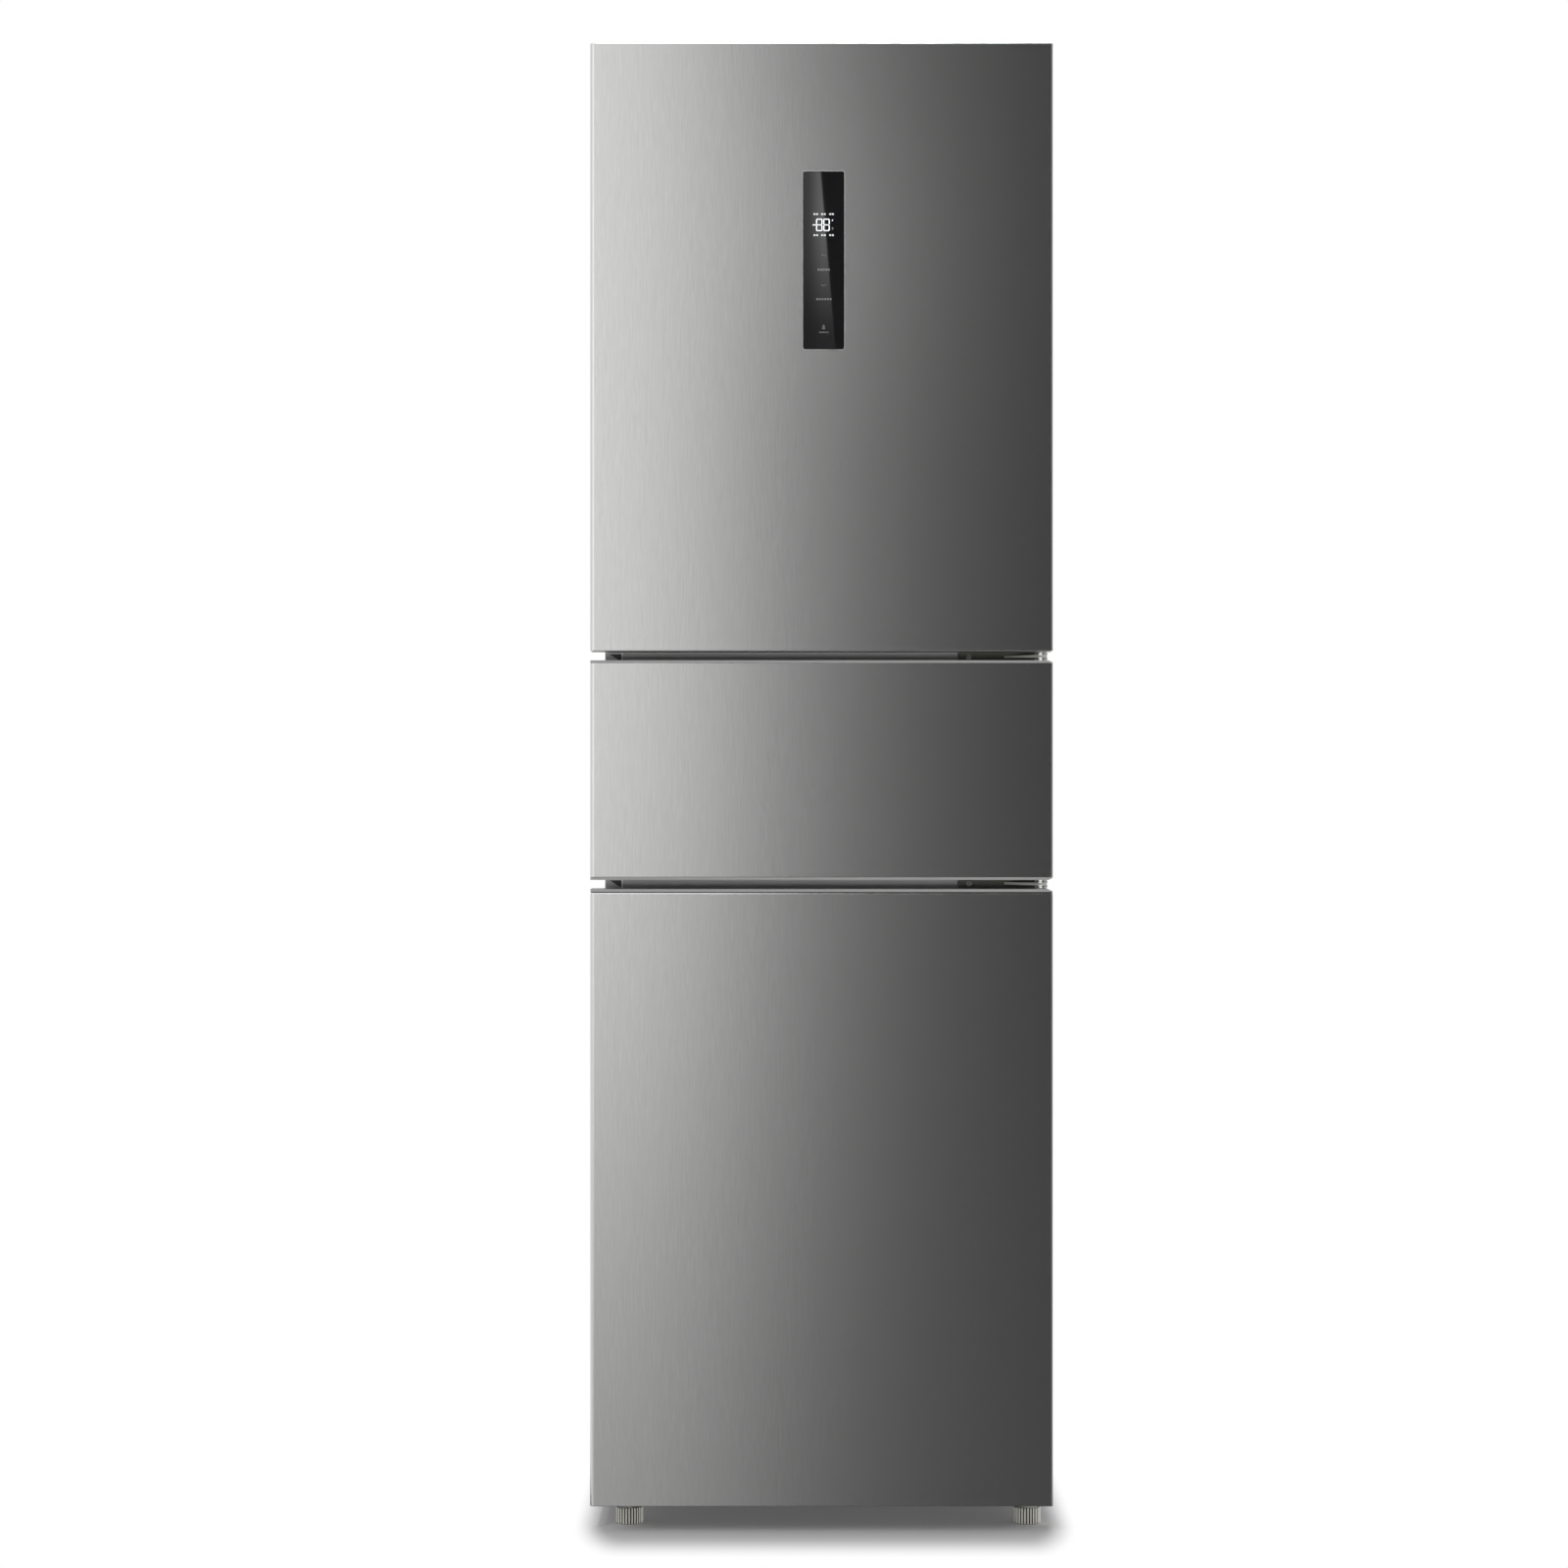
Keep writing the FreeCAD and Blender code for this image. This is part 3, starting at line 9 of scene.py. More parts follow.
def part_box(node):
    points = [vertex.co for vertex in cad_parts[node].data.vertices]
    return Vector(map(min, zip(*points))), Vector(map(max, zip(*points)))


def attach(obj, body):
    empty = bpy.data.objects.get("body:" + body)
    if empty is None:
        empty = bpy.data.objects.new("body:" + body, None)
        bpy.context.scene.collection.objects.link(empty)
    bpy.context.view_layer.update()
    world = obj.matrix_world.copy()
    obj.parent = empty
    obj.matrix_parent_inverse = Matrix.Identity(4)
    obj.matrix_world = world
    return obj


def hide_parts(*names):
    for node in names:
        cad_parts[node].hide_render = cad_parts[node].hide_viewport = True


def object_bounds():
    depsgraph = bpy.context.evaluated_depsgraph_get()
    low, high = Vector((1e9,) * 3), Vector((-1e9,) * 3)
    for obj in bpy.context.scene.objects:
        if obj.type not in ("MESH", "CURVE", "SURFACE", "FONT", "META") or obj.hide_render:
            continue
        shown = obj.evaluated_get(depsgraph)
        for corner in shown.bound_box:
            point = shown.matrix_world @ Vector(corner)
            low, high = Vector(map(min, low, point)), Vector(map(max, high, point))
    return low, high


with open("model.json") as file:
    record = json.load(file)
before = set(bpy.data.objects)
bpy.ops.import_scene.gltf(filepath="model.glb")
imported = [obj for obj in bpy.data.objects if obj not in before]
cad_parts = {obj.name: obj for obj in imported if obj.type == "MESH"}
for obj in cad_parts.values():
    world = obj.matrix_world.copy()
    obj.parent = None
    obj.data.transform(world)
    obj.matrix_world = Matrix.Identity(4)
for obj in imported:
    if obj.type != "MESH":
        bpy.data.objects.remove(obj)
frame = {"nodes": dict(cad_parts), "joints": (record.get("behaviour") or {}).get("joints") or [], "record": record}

CAD_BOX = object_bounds()
MM = 0.001
TINY = 0.01 * MM
WELD = 0.001 * MM
CREASE = 35.0
NODES = frame["nodes"]
SCENE = bpy.context.scene
DOORS = ("upper", "middle", "lower")
FEET = ("left_foot", "right_foot")
MIDDLE_HINGES = ("upper_middle_hinge", "lower_middle_hinge")

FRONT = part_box("upper_door_skin")[0].y
CABINET_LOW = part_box("left_side_panel")[0]
GLASS_LOW, GLASS_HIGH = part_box("display_glass")
TRAY_LOW, TRAY_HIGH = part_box("display_housing")
TRAY_CORNER = 3.9 * MM
KNOB_RADIUS = 16.6 * MM


# Finishes

RAMP_ENDS = (0.3, 0.7)
CLEAR_IOR = 1.46
# Depths where the hinge steel turns from the painted shade of its plates to the painted light of its arms
HINGE_SHADE_DEPTHS = (CABINET_LOW.y - 6 * MM, CABINET_LOW.y - 3.5 * MM)
# Radii over which the feet's grooves get their painted shade
GROOVE_SHADE_MOUTH = (KNOB_RADIUS * 0.985, KNOB_RADIUS * 0.93)
GROOVE_SHADE_FLOOR = (KNOB_RADIUS * 0.80, KNOB_RADIUS * 0.86)


def shader_of(made):
    """The one shader of a finish."""
    return made.node_tree.nodes["Principled BSDF"]


def finish(name, colour, roughness, metal=0.0):
    """A new material with its plain values on the shader."""
    made = bpy.data.materials.new(name)
    made.use_nodes = True
    shader = shader_of(made)
    shader.inputs["Base Color"].default_value = (*colour, 1.0)
    shader.inputs["Roughness"].default_value = roughness
    shader.inputs["Metallic"].default_value = metal
    return made


def own_place(tree):
    """The surface's place in the object's own coordinates."""
    return tree.nodes.new("ShaderNodeTexCoord").outputs["Object"]


def axis_of(tree, axis):
    """One axis of the surface's place."""
    split = tree.nodes.new("ShaderNodeSeparateXYZ")
    tree.links.new(own_place(tree), split.inputs["Vector"])
    return split.outputs[axis]


def stretched(tree, factors):
    """The surface's place, scaled along each axis."""
    turn = tree.nodes.new("ShaderNodeMapping")
    turn.inputs["Scale"].default_value = factors
    tree.links.new(own_place(tree), turn.inputs["Vector"])
    return turn.outputs["Vector"]


def grain(made, scale, detail=4.0, stretch=(1.0, 1.0, 1.0)):
    """A noise pattern over the object's own coordinates."""
    tree = made.node_tree
    noise = tree.nodes.new("ShaderNodeTexNoise")
    noise.inputs["Scale"].default_value = scale
    noise.inputs["Detail"].default_value = detail
    tree.links.new(stretched(tree, stretch), noise.inputs["Vector"])
    return noise.outputs["Fac"]


def joined(tree, operation, *terms):
    """A maths node over links and plain numbers."""
    made = tree.nodes.new("ShaderNodeMath")
    made.operation = operation
    for number, term in enumerate(terms):
        if isinstance(term, (int, float)):
            made.inputs[number].default_value = term
        else:
            tree.links.new(term, made.inputs[number])
    return made.outputs["Value"]


def span(tree, source, start, end, low=0.0, high=1.0, smooth=False):
    """A value carried from one span to another."""
    made = tree.nodes.new("ShaderNodeMapRange")
    made.interpolation_type = "SMOOTHSTEP" if smooth else "LINEAR"
    sockets = ("From Min", "From Max", "To Min", "To Max")
    for socket, number in zip(sockets, (start, end, low, high)):
        made.inputs[socket].default_value = number
    tree.links.new(source, made.inputs["Value"])
    return made.outputs["Result"]


def tint(made, pattern, dark, light):
    """Colours the surface between two tones by a pattern."""
    tree = made.node_tree
    ramp = tree.nodes.new("ShaderNodeValToRGB")
    for element, position, tone in zip(ramp.color_ramp.elements, RAMP_ENDS, (dark, light)):
        element.position = position
        element.color = (*tone, 1.0)
    tree.links.new(pattern, ramp.inputs["Fac"])
    tree.links.new(ramp.outputs["Color"], shader_of(made).inputs["Base Color"])


def relief(made, pattern, strength, distance):
    """Lifts the surface by a pattern."""
    tree = made.node_tree
    bump = tree.nodes.new("ShaderNodeBump")
    bump.inputs["Strength"].default_value = strength
    bump.inputs["Distance"].default_value = distance
    tree.links.new(pattern, bump.inputs["Height"])
    tree.links.new(bump.outputs["Normal"], shader_of(made).inputs["Normal"])


def polish(made, pattern, low, high):
    """Varies the roughness by a pattern."""
    tree = made.node_tree
    tree.links.new(span(tree, pattern, 0.0, 1.0, low, high), shader_of(made).inputs["Roughness"])


def shade(tone, factor):
    """A tone made darker or lighter."""
    return tuple(channel * factor for channel in tone)


def moulded(name, tone, roughness, texture=900.0, depth=0.02 * MM):
    """Moulded plastic: faint cloudiness and a fine spark-eroded texture."""
    made = finish(name, tone, roughness)
    cloud = grain(made, scale=14.0)
    tint(made, cloud, dark=shade(tone, 0.98), light=shade(tone, 1.015))
    polish(made, cloud, low=roughness - 0.01, high=roughness + 0.02)
    relief(made, grain(made, scale=texture, detail=2.0), strength=0.25, distance=depth)
    return made


def painted(name, tone, roughness):
    """Sprayed sheet steel with a light orange peel."""
    made = finish(name, tone, roughness)
    tint(made, grain(made, scale=6.0), dark=shade(tone, 0.96), light=shade(tone, 1.03))
    relief(made, grain(made, scale=420.0, detail=2.0), strength=0.12, distance=0.03 * MM)
    shader_of(made).inputs["Coat Weight"].default_value = 0.15
    shader_of(made).inputs["Coat Roughness"].default_value = 0.3
    return made


def brushed_front():
    """The doors' dark silver film: upright hairlines over a fine mottle."""
    tone = (0.60, 0.60, 0.595)
    made = finish("brushed_front", tone, roughness=0.20, metal=1.0)
    hair = grain(made, scale=1.0, detail=3.0, stretch=(2600.0, 2600.0, 45.0))
    mottle = grain(made, scale=620.0, detail=3.0)
    tint(made, hair, dark=shade(tone, 0.93), light=shade(tone, 1.06))
    polish(made, mottle, low=0.17, high=0.23)
    relief(made, hair, strength=0.05, distance=0.02 * MM)
    return made


def bare_steel(name, tone, roughness):
    """Plated or zinc-coated steel with a soft spangle."""
    made = finish(name, tone, roughness, metal=1.0)
    spangle = grain(made, scale=60.0, detail=5.0)
    tint(made, spangle, dark=shade(tone, 0.95), light=shade(tone, 1.04))
    polish(made, spangle, low=roughness - 0.07, high=roughness + 0.08)
    return made


def depth_shaded_hinge_steel():
    """Hinge steel coloured by depth: dark olive on the plates set back against the cabinet, which paints the shade
    of the gap on them, and pale on the arms in front of it, which paints light on them.
    """
    made = finish("hinge_steel", (0.5, 0.5, 0.47), roughness=0.4)
    tree = made.node_tree
    # Painted shade on the plates behind the blend, painted light on the arms in front of it
    lit_arm = span(tree, axis_of(tree, "Y"), *HINGE_SHADE_DEPTHS, low=1.0, high=0.0)
    cloud = span(tree, grain(made, scale=60.0, detail=5.0), 0.0, 1.0, low=-0.12, high=0.12)
    tint(made, joined(tree, "ADD", lit_arm, cloud), dark=(0.11, 0.11, 0.09), light=(0.62, 0.62, 0.58))
    return made


def ribbed_plastic_painted_grooves():
    """The feet's plastic: pale on the ribs, with a painted shade that darkens it down in the grooves between them.
    """
    pale_tone = (0.92, 0.90, 0.84)
    made = finish("foot_plastic", pale_tone, roughness=0.42)
    tree = made.node_tree
    level_place = stretched(tree, (1.0, 1.0, 0.0))
    reaches = []
    for foot in FEET:
        low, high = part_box(foot)
        far = tree.nodes.new("ShaderNodeVectorMath")
        far.operation = "DISTANCE"
        far.inputs[1].default_value = ((low.x + high.x) / 2, (low.y + high.y) / 2, 0.0)
        tree.links.new(level_place, far.inputs[0])
        reaches.append(far.outputs["Value"])
    reach = joined(tree, "MINIMUM", *reaches)
    # Painted shade: darkest at the bottom of each groove
    groove = joined(tree, "MULTIPLY", span(tree, reach, *GROOVE_SHADE_MOUTH), span(tree, reach, *GROOVE_SHADE_FLOOR))
    cloud = span(tree, grain(made, scale=60.0), 0.0, 1.0, low=0.95, high=1.0)
    tint(made, joined(tree, "SUBTRACT", cloud, groove), dark=(0.10, 0.098, 0.08), light=pale_tone)
    return made


def clear(name, tone, roughness, clearness):
    """Clear glass or plastic with a breath of haze."""
    made = finish(name, tone, roughness)
    shader_of(made).inputs["Transmission Weight"].default_value = clearness
    shader_of(made).inputs["IOR"].default_value = CLEAR_IOR
    polish(made, grain(made, scale=30.0), low=roughness, high=roughness + 0.05)
    return made


def lit(name, tone, strength):
    """A lit lamp cover, or a lit mark behind the glass."""
    made = finish(name, tone, roughness=0.5)
    shader_of(made).inputs["Emission Color"].default_value = (*tone, 1.0)
    shader_of(made).inputs["Emission Strength"].default_value = strength
    tint(made, grain(made, scale=900.0), dark=shade(tone, 0.92), light=tone)
    return made


def foam():
    """Set polyurethane foam, cream and pitted."""
    tone = (0.80, 0.74, 0.55)
    made = finish("set_foam", tone, roughness=0.9)
    cells = grain(made, scale=260.0, detail=6.0)
    tint(made, cells, dark=shade(tone, 0.8), light=shade(tone, 1.08))
    relief(made, cells, strength=0.6, distance=0.4 * MM)
    return made


def black_pane():
    """Black printed glass."""
    made = finish("black_pane", (0.011, 0.011, 0.012), roughness=0.03)
    polish(made, grain(made, scale=40.0), low=0.008, high=0.016)
    tint(made, grain(made, scale=20.0), dark=(0.010, 0.010, 0.011), light=(0.013, 0.013, 0.014))
    return made


FINISHES = {
    "steel_front": brushed_front(),
    "cabinet_paint": painted("cabinet_paint", (0.42, 0.42, 0.42), roughness=0.42),
    "zinc_sheet": bare_steel("zinc_sheet", (0.55, 0.56, 0.57), roughness=0.42),
    "hinge_steel": depth_shaded_hinge_steel(),
    "bright_steel": bare_steel("bright_steel", (0.75, 0.75, 0.74), roughness=0.18),
    "liner_white": moulded("liner_white", (0.86, 0.87, 0.87), 0.24, texture=1400.0, depth=0.01 * MM),
    "cap_grey": moulded("cap_grey", (0.40, 0.40, 0.395), roughness=0.32),
    "grip_grey": moulded("grip_grey", (0.10, 0.10, 0.102), roughness=0.38),
    "seal_grey": moulded("seal_grey", (0.36, 0.365, 0.365), roughness=0.55),
    "foam_cream": foam(),
    "clear_glass": clear("shelf_glass", (0.90, 0.96, 0.94), roughness=0.02, clearness=0.95),
    "clear_plastic": clear("drawer_plastic", (0.92, 0.94, 0.95), roughness=0.10, clearness=0.82),
    "trim_grey": moulded("trim_grey", (0.62, 0.63, 0.64), roughness=0.25),
    "lamp_white": lit("lamp_white", (0.95, 0.95, 0.92), strength=0.25),
    "black_glass": black_pane(),
    "bezel_grey": bare_steel("bezel_grey", (0.90, 0.90, 0.89), roughness=0.2),
    "board_green": moulded("board_green", (0.05, 0.22, 0.10), roughness=0.45),
    "compressor_black": painted("compressor_black", (0.02, 0.02, 0.02), roughness=0.35),
    "mount_rubber": moulded("mount_rubber", (0.03, 0.03, 0.03), roughness=0.7),
    "coil_aluminium": bare_steel("coil_aluminium", (0.70, 0.71, 0.72), roughness=0.3),
    "tray_black": moulded("tray_black", (0.05, 0.05, 0.05), roughness=0.5),
    "foot_grey": ribbed_plastic_painted_grooves(),
    "roller_black": moulded("roller_black", (0.05, 0.05, 0.05), roughness=0.5),
}
LIT_MARK = lit("lit_mark", (0.93, 0.97, 1.0), strength=0.95)
WORD_MARK = lit("word_mark", (0.60, 0.62, 0.63), strength=0.55)
FAINT_MARK = lit("faint_mark", (0.22, 0.22, 0.22), strength=0.12)
# A bright copy of the door's steel, which paints the highlight along the lower door's top edge
EDGE_HIGHLIGHT_STEEL = bare_steel("edge_highlight_steel", (0.93, 0.93, 0.92), roughness=0.2)

for part in frame["record"]["subparts"]:
    thing = NODES[part["node"]]
    thing.data.materials.clear()
    thing.data.materials.append(FINISHES[part["material_slot"]])


# Making pieces

CORNER_STEPS = 6
PLATE_STEPS = 8
EDGE_STEPS = 2
TURN_STEPS = 48


def settle(shape, name, crease=CREASE):
    """Turns a finished bmesh into a mesh with smooth faces and sharp creases."""
    bmesh.ops.remove_doubles(shape, verts=shape.verts, dist=WELD)
    bmesh.ops.recalc_face_normals(shape, faces=shape.faces)
    mesh = bpy.data.meshes.new(name)
    shape.to_mesh(mesh)
    shape.free()
    for face in mesh.polygons:
        face.use_smooth = True
    mesh.set_sharp_from_angle(angle=math.radians(crease))
    return mesh


def piece(name, shape, body, slot, *replaced, look=None, crease=CREASE, flat=False):
    """A piece of the object that rides on a body and may stand for solids of the frame."""
    made = bpy.data.objects.new(name, settle(shape, name, crease))
    SCENE.collection.objects.link(made)
    made.data.materials.append(look or FINISHES[slot])
    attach(made, body)
    if replaced:
        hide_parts(*replaced)
    if flat:
        made.modifiers.new("flat_faces", "WEIGHTED_NORMAL").keep_sharp = True
    return made


def block(shape, low, high):
    """Adds a box between two corners."""
    low, high = Vector(low), Vector(high)
    size = high - low
    place = Matrix.Translation((low + high) / 2) @ Matrix.Diagonal((*size, 1.0))
    return bmesh.ops.create_cube(shape, size=1.0, matrix=place)["verts"]


def edges_of(verts):
    """Every edge that meets one of some verts."""
    return list({edge for vert in verts for edge in vert.link_edges})


def rim_of(loop):
    """The edges between the verts of a loop."""
    return [edge for edge in edges_of(loop) if all(vert in loop for vert in edge.verts)]


def lies(edge, axis, place):
    """Whether an edge lies on a plane square to an axis."""
    return all(abs(vert.co[axis] - place) < TINY for vert in edge.verts)


def ring_at(shape, place, width, height, corner):
    """A closed ring of edges: a rectangle with round corners."""
    before = set(shape.edges)
    size = Matrix.Diagonal((width, height, 1.0, 1.0))
    sheet = bmesh.ops.create_grid(shape, x_segments=1, y_segments=1, size=0.5, matrix=place @ size)
    bmesh.ops.bevel(
        shape,
        geom=sheet["verts"],
        offset=corner,
        segments=CORNER_STEPS,
        profile=0.5,
        affect="VERTICES",
        material=-1,
    )
    ring = [edge for edge in shape.edges if edge not in before]
    inside = list({face for edge in ring for face in edge.link_faces})
    bmesh.ops.delete(shape, geom=inside, context="FACES_ONLY")
    return ring


def outline(shape, x, z, y, corner):
    """A ring that stands upright and faces forward."""
    middle = Matrix.Translation(((x[0] + x[1]) / 2, y, (z[0] + z[1]) / 2))
    upright = Matrix.Rotation(math.radians(90), 4, "X")
    return ring_at(shape, middle @ upright, x[1] - x[0], z[1] - z[0], corner)


def level_ring(shape, x, y, z, corner):
    """A ring that lies level."""
    middle = Matrix.Translation(((x[0] + x[1]) / 2, (y[0] + y[1]) / 2, z))
    return ring_at(shape, middle, x[1] - x[0], y[1] - y[0], corner)


def bridged(shape, rings):
    """Walls from ring to ring, with the first and last ring closed."""
    for ring, following in zip(rings, rings[1:]):
        bmesh.ops.bridge_loops(shape, edges=ring + following)
    for ring in (rings[0], rings[-1]):
        bmesh.ops.contextual_create(shape, geom=ring)


def soften(shape, edges, width, segments=3):
    """Rounds edges."""
    bmesh.ops.bevel(
        shape,
        geom=edges,
        offset=width,
        segments=segments,
        profile=0.5,
        affect="EDGES",
        material=-1,
        clamp_overlap=True,
    )


def plate(shape, low, high, corner, edge):
    """An upright plate with round corners and a softened front."""
    before = set(shape.faces)
    verts = block(shape, low, high)
    deep = [line for line in edges_of(verts) if abs(line.verts[0].co.y - line.verts[1].co.y) > TINY]
    soften(shape, deep, corner, PLATE_STEPS)
    fresh = {line for face in shape.faces if face not in before for line in face.edges}
    soften(shape, [line for line in fresh if lies(line, 1, low[1])], edge, EDGE_STEPS)


def turned(shape, profile, centre, steps=TURN_STEPS):
    """Spins pairs of radius and height about an upright axis."""
    x, y, z = centre
    verts = [shape.verts.new((x + radius, y, z + height)) for radius, height in profile]
    edges = [shape.edges.new(pair) for pair in zip(verts, verts[1:])]
    bmesh.ops.spin(
        shape,
        geom=verts + edges,
        cent=centre,
        axis=(0, 0, 1),
        angle=math.tau,
        steps=steps,
        use_merge=True,
    )


# Feet

FOOT_RIBS = 28
RIB_DEPTH = 0.90
RIB_STEPS = 4
GROOVE_STEPS = (2, 3)
KNOB_HEIGHT = 20 * MM
KNOB_ROUND = 1.2 * MM
KNOB_TOP = 0.95
KNOB_SOLE = 0.93
STUD_SINK = 0.5 * MM
STUD_RADIUS = 4 * MM
STUD_CORE = 3.4 * MM
STUD_STEPS = 32
THREAD_PITCH = 1.25 * MM
THREAD_FLANK = 0.6 * MM
THREAD_END = 1.3 * MM


def drawn(shape, loop, centre, height, factor):
    """Draws a loop up or down, narrows it about a centre and returns the new loop."""
    made = bmesh.ops.extrude_edge_only(shape, edges=rim_of(loop))["geom"]
    verts = [item for item in made if isinstance(item, bmesh.types.BMVert)]
    bmesh.ops.translate(shape, vec=(0, 0, height), verts=verts)
    axis = Matrix.Translation((-centre.x, -centre.y, 0))
    bmesh.ops.scale(shape, vec=(factor, factor, 1.0), verts=verts, space=axis)
    return verts


def knob(name):
    """A ribbed levelling foot with its threaded stud."""
    low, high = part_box(name)
    centre = (low + high) / 2
    shape = bmesh.new()
    steps = FOOT_RIBS * RIB_STEPS
    ring = bmesh.ops.create_circle(shape, cap_ends=False, radius=KNOB_RADIUS, segments=steps)["verts"]
    groove = [vert for number, vert in enumerate(ring) if number % RIB_STEPS in GROOVE_STEPS]
    bmesh.ops.scale(shape, vec=(RIB_DEPTH, RIB_DEPTH, 1.0), verts=groove)
    bmesh.ops.translate(shape, vec=(centre.x, centre.y, low.z + KNOB_ROUND), verts=ring)
    shoulder = drawn(shape, ring, centre, KNOB_HEIGHT - 2 * KNOB_ROUND, 1.0)
    top = drawn(shape, shoulder, centre, KNOB_ROUND, KNOB_TOP)
    sole = drawn(shape, ring, centre, -KNOB_ROUND, KNOB_SOLE)
    for loop in (top, sole):
        bmesh.ops.contextual_create(shape, geom=rim_of(loop))
    stud = [(0.0, KNOB_HEIGHT - STUD_SINK), (STUD_RADIUS, KNOB_HEIGHT - STUD_SINK)]
    thread = KNOB_HEIGHT
    while thread < high.z - THREAD_END:
        stud += [(STUD_RADIUS, thread), (STUD_CORE, thread + THREAD_FLANK)]
        thread += THREAD_PITCH
    stud += [(STUD_CORE, high.z), (0.0, high.z)]
    turned(shape, stud, (centre.x, centre.y, low.z), STUD_STEPS)
    return piece(f"{name}_knob", shape, f"{name}_body", "foot_grey", name)


for foot in FEET:
    knob(foot)


# Door seals: the profile's pairs are millimetres across the seal and back from the door

SEAL_PROFILE = (
    (0.0, 0.2), (0.4, 0.0), (15.6, 0.0), (16.0, 0.2), (16.0, 2.0), (15.4, 2.5), (12.4, 2.6),
    (11.6, 3.2), (12.4, 4.0), (11.8, 4.9), (13.4, 5.2), (14.8, 5.7), (15.0, 7.2), (14.6, 8.2),
    (13.8, 8.6), (2.2, 8.6), (1.4, 8.2), (1.0, 7.2), (1.2, 5.7), (2.6, 5.2), (4.2, 4.9),
    (3.6, 4.0), (4.4, 3.2), (3.6, 2.6), (0.6, 2.5), (0.0, 2.0),
)
SEAL_CREASE = 25.0


def seal(door):
    """The folded magnetic seal round the back of a door, mitred at its corners."""
    low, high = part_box(f"{door}_door_gasket")
    shape = bmesh.new()
    rings = []
    corners = (
        (low.x, 1, low.z, 1),
        (high.x, -1, low.z, 1),
        (high.x, -1, high.z, -1),
        (low.x, 1, high.z, -1),
    )
    for x, inward, z, upward in corners:
        verts = [
            shape.verts.new((x + inward * across * MM, low.y + depth * MM, z + upward * across * MM))
            for across, depth in SEAL_PROFILE
        ]
        rings.append([shape.edges.new(pair) for pair in zip(verts, verts[1:] + verts[:1])])
    for ring, following in zip(rings, rings[1:] + rings[:1]):
        bmesh.ops.bridge_loops(shape, edges=ring + following)
    return piece(
        f"{door}_door_seal",
        shape,
        f"{door}_door",
        "seal_grey",
        f"{door}_door_gasket",
        crease=SEAL_CREASE,
    )


for door in DOORS:
    seal(door)


# Door fronts

GRIP_BEND = 5 * MM
HINGE_BEND = 2.5 * MM
BEND_STEPS = 8
SKIN_ROLL = 0.9 * MM
SKIN_SHEET = 0.8 * MM
SEAM = 1.6 * MM
SEAM_DEPTH = 0.6 * MM
BEAD = 1.1 * MM


def folded(low, high):
    """A box without a back, bent round both sides: wide where the grip is, tight at the hinge."""
    shape = bmesh.new()
    block(shape, low, high)
    for side, bend in ((low.x, GRIP_BEND), (high.x, HINGE_BEND)):
        upright = [edge for edge in shape.edges if lies(edge, 0, side) and lies(edge, 1, low.y)]
        soften(shape, upright, bend, BEND_STEPS)
    back = [face for face in shape.faces if all(lies(edge, 1, high.y) for edge in face.edges)]
    bmesh.ops.delete(shape, geom=back, context="FACES")
    return shape


def at_ends(edge, low, high):
    """Whether an edge lies at the bottom or the top of a sheet."""
    return lies(edge, 2, low.z) or lies(edge, 2, high.z)


def open_ends(shape, low, high):
    """Takes the bottom and the top off a folded sheet."""
    ends = [face for face in shape.faces if all(at_ends(edge, low, high) for edge in face.edges)]
    bmesh.ops.delete(shape, geom=ends, context="FACES")


def thicken(shape):
    """Gives a folded sheet its thickness."""
    bmesh.ops.recalc_face_normals(shape, faces=shape.faces)
    bmesh.ops.solidify(shape, geom=shape.faces, thickness=SKIN_SHEET)


def cut_window(shape, y):
    """Cuts the display's window out of the largest face."""
    face = max(shape.faces, key=lambda one: one.calc_area())
    rim = list(face.edges)
    bmesh.ops.delete(shape, geom=[face], context="FACES_ONLY")
    window = outline(shape, (TRAY_LOW.x, TRAY_HIGH.x), (TRAY_LOW.z, TRAY_HIGH.z), y, TRAY_CORNER)
    bmesh.ops.triangle_fill(shape, use_beauty=True, edges=rim + window, normal=(0, -1, 0))


def door_front(door):
    """A door's front sheet: bent round both sides and rolled over at its top and bottom."""
    name = f"{door}_door_skin"
    low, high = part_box(name)
    if door == "lower":
        high.z -= SEAM + BEAD
    shape = folded(low, high)
    soften(shape, [edge for edge in shape.edges if at_ends(edge, low, high)], SKIN_ROLL)
    open_ends(shape, low, high)
    if door == "upper":
        cut_window(shape, low.y)
    thicken(shape)
    return piece(f"{door}_door_front", shape, f"{door}_door", "steel_front", name, flat=True)


def band(name, low, high, slot, look=None):
    """A narrow sheet that follows the lower door's front round both sides."""
    shape = folded(low, high)
    open_ends(shape, low, high)
    thicken(shape)
    return piece(name, shape, "lower_door", slot, look=look)


def painted_top_bands():
    """A black band in the seam along the lower door's top, which paints the seam's shade, and a bright steel band
    under it, which paints the highlight on the front sheet's top edge.
    """
    low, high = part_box("lower_door_skin")
    inset = Vector((SEAM_DEPTH, 0.0, 0.0))
    # Painted shade: the black seam band; painted highlight: the bright band under it
    shade_low = Vector((low.x, low.y + SEAM_DEPTH, high.z - 2 * SEAM))
    band("lower_door_seam_shade", shade_low + inset, high - inset, "tray_black")
    bead_low = Vector((low.x, low.y, high.z - SEAM - BEAD))
    band("lower_door_highlight_bead", bead_low, Vector((high.x, high.y, high.z - SEAM)), "steel_front", EDGE_HIGHLIGHT_STEEL)


for door in DOORS:
    door_front(door)
painted_top_bands()


# Display: the tray's profile and the marks are in millimetres, the marks from the glass's middle

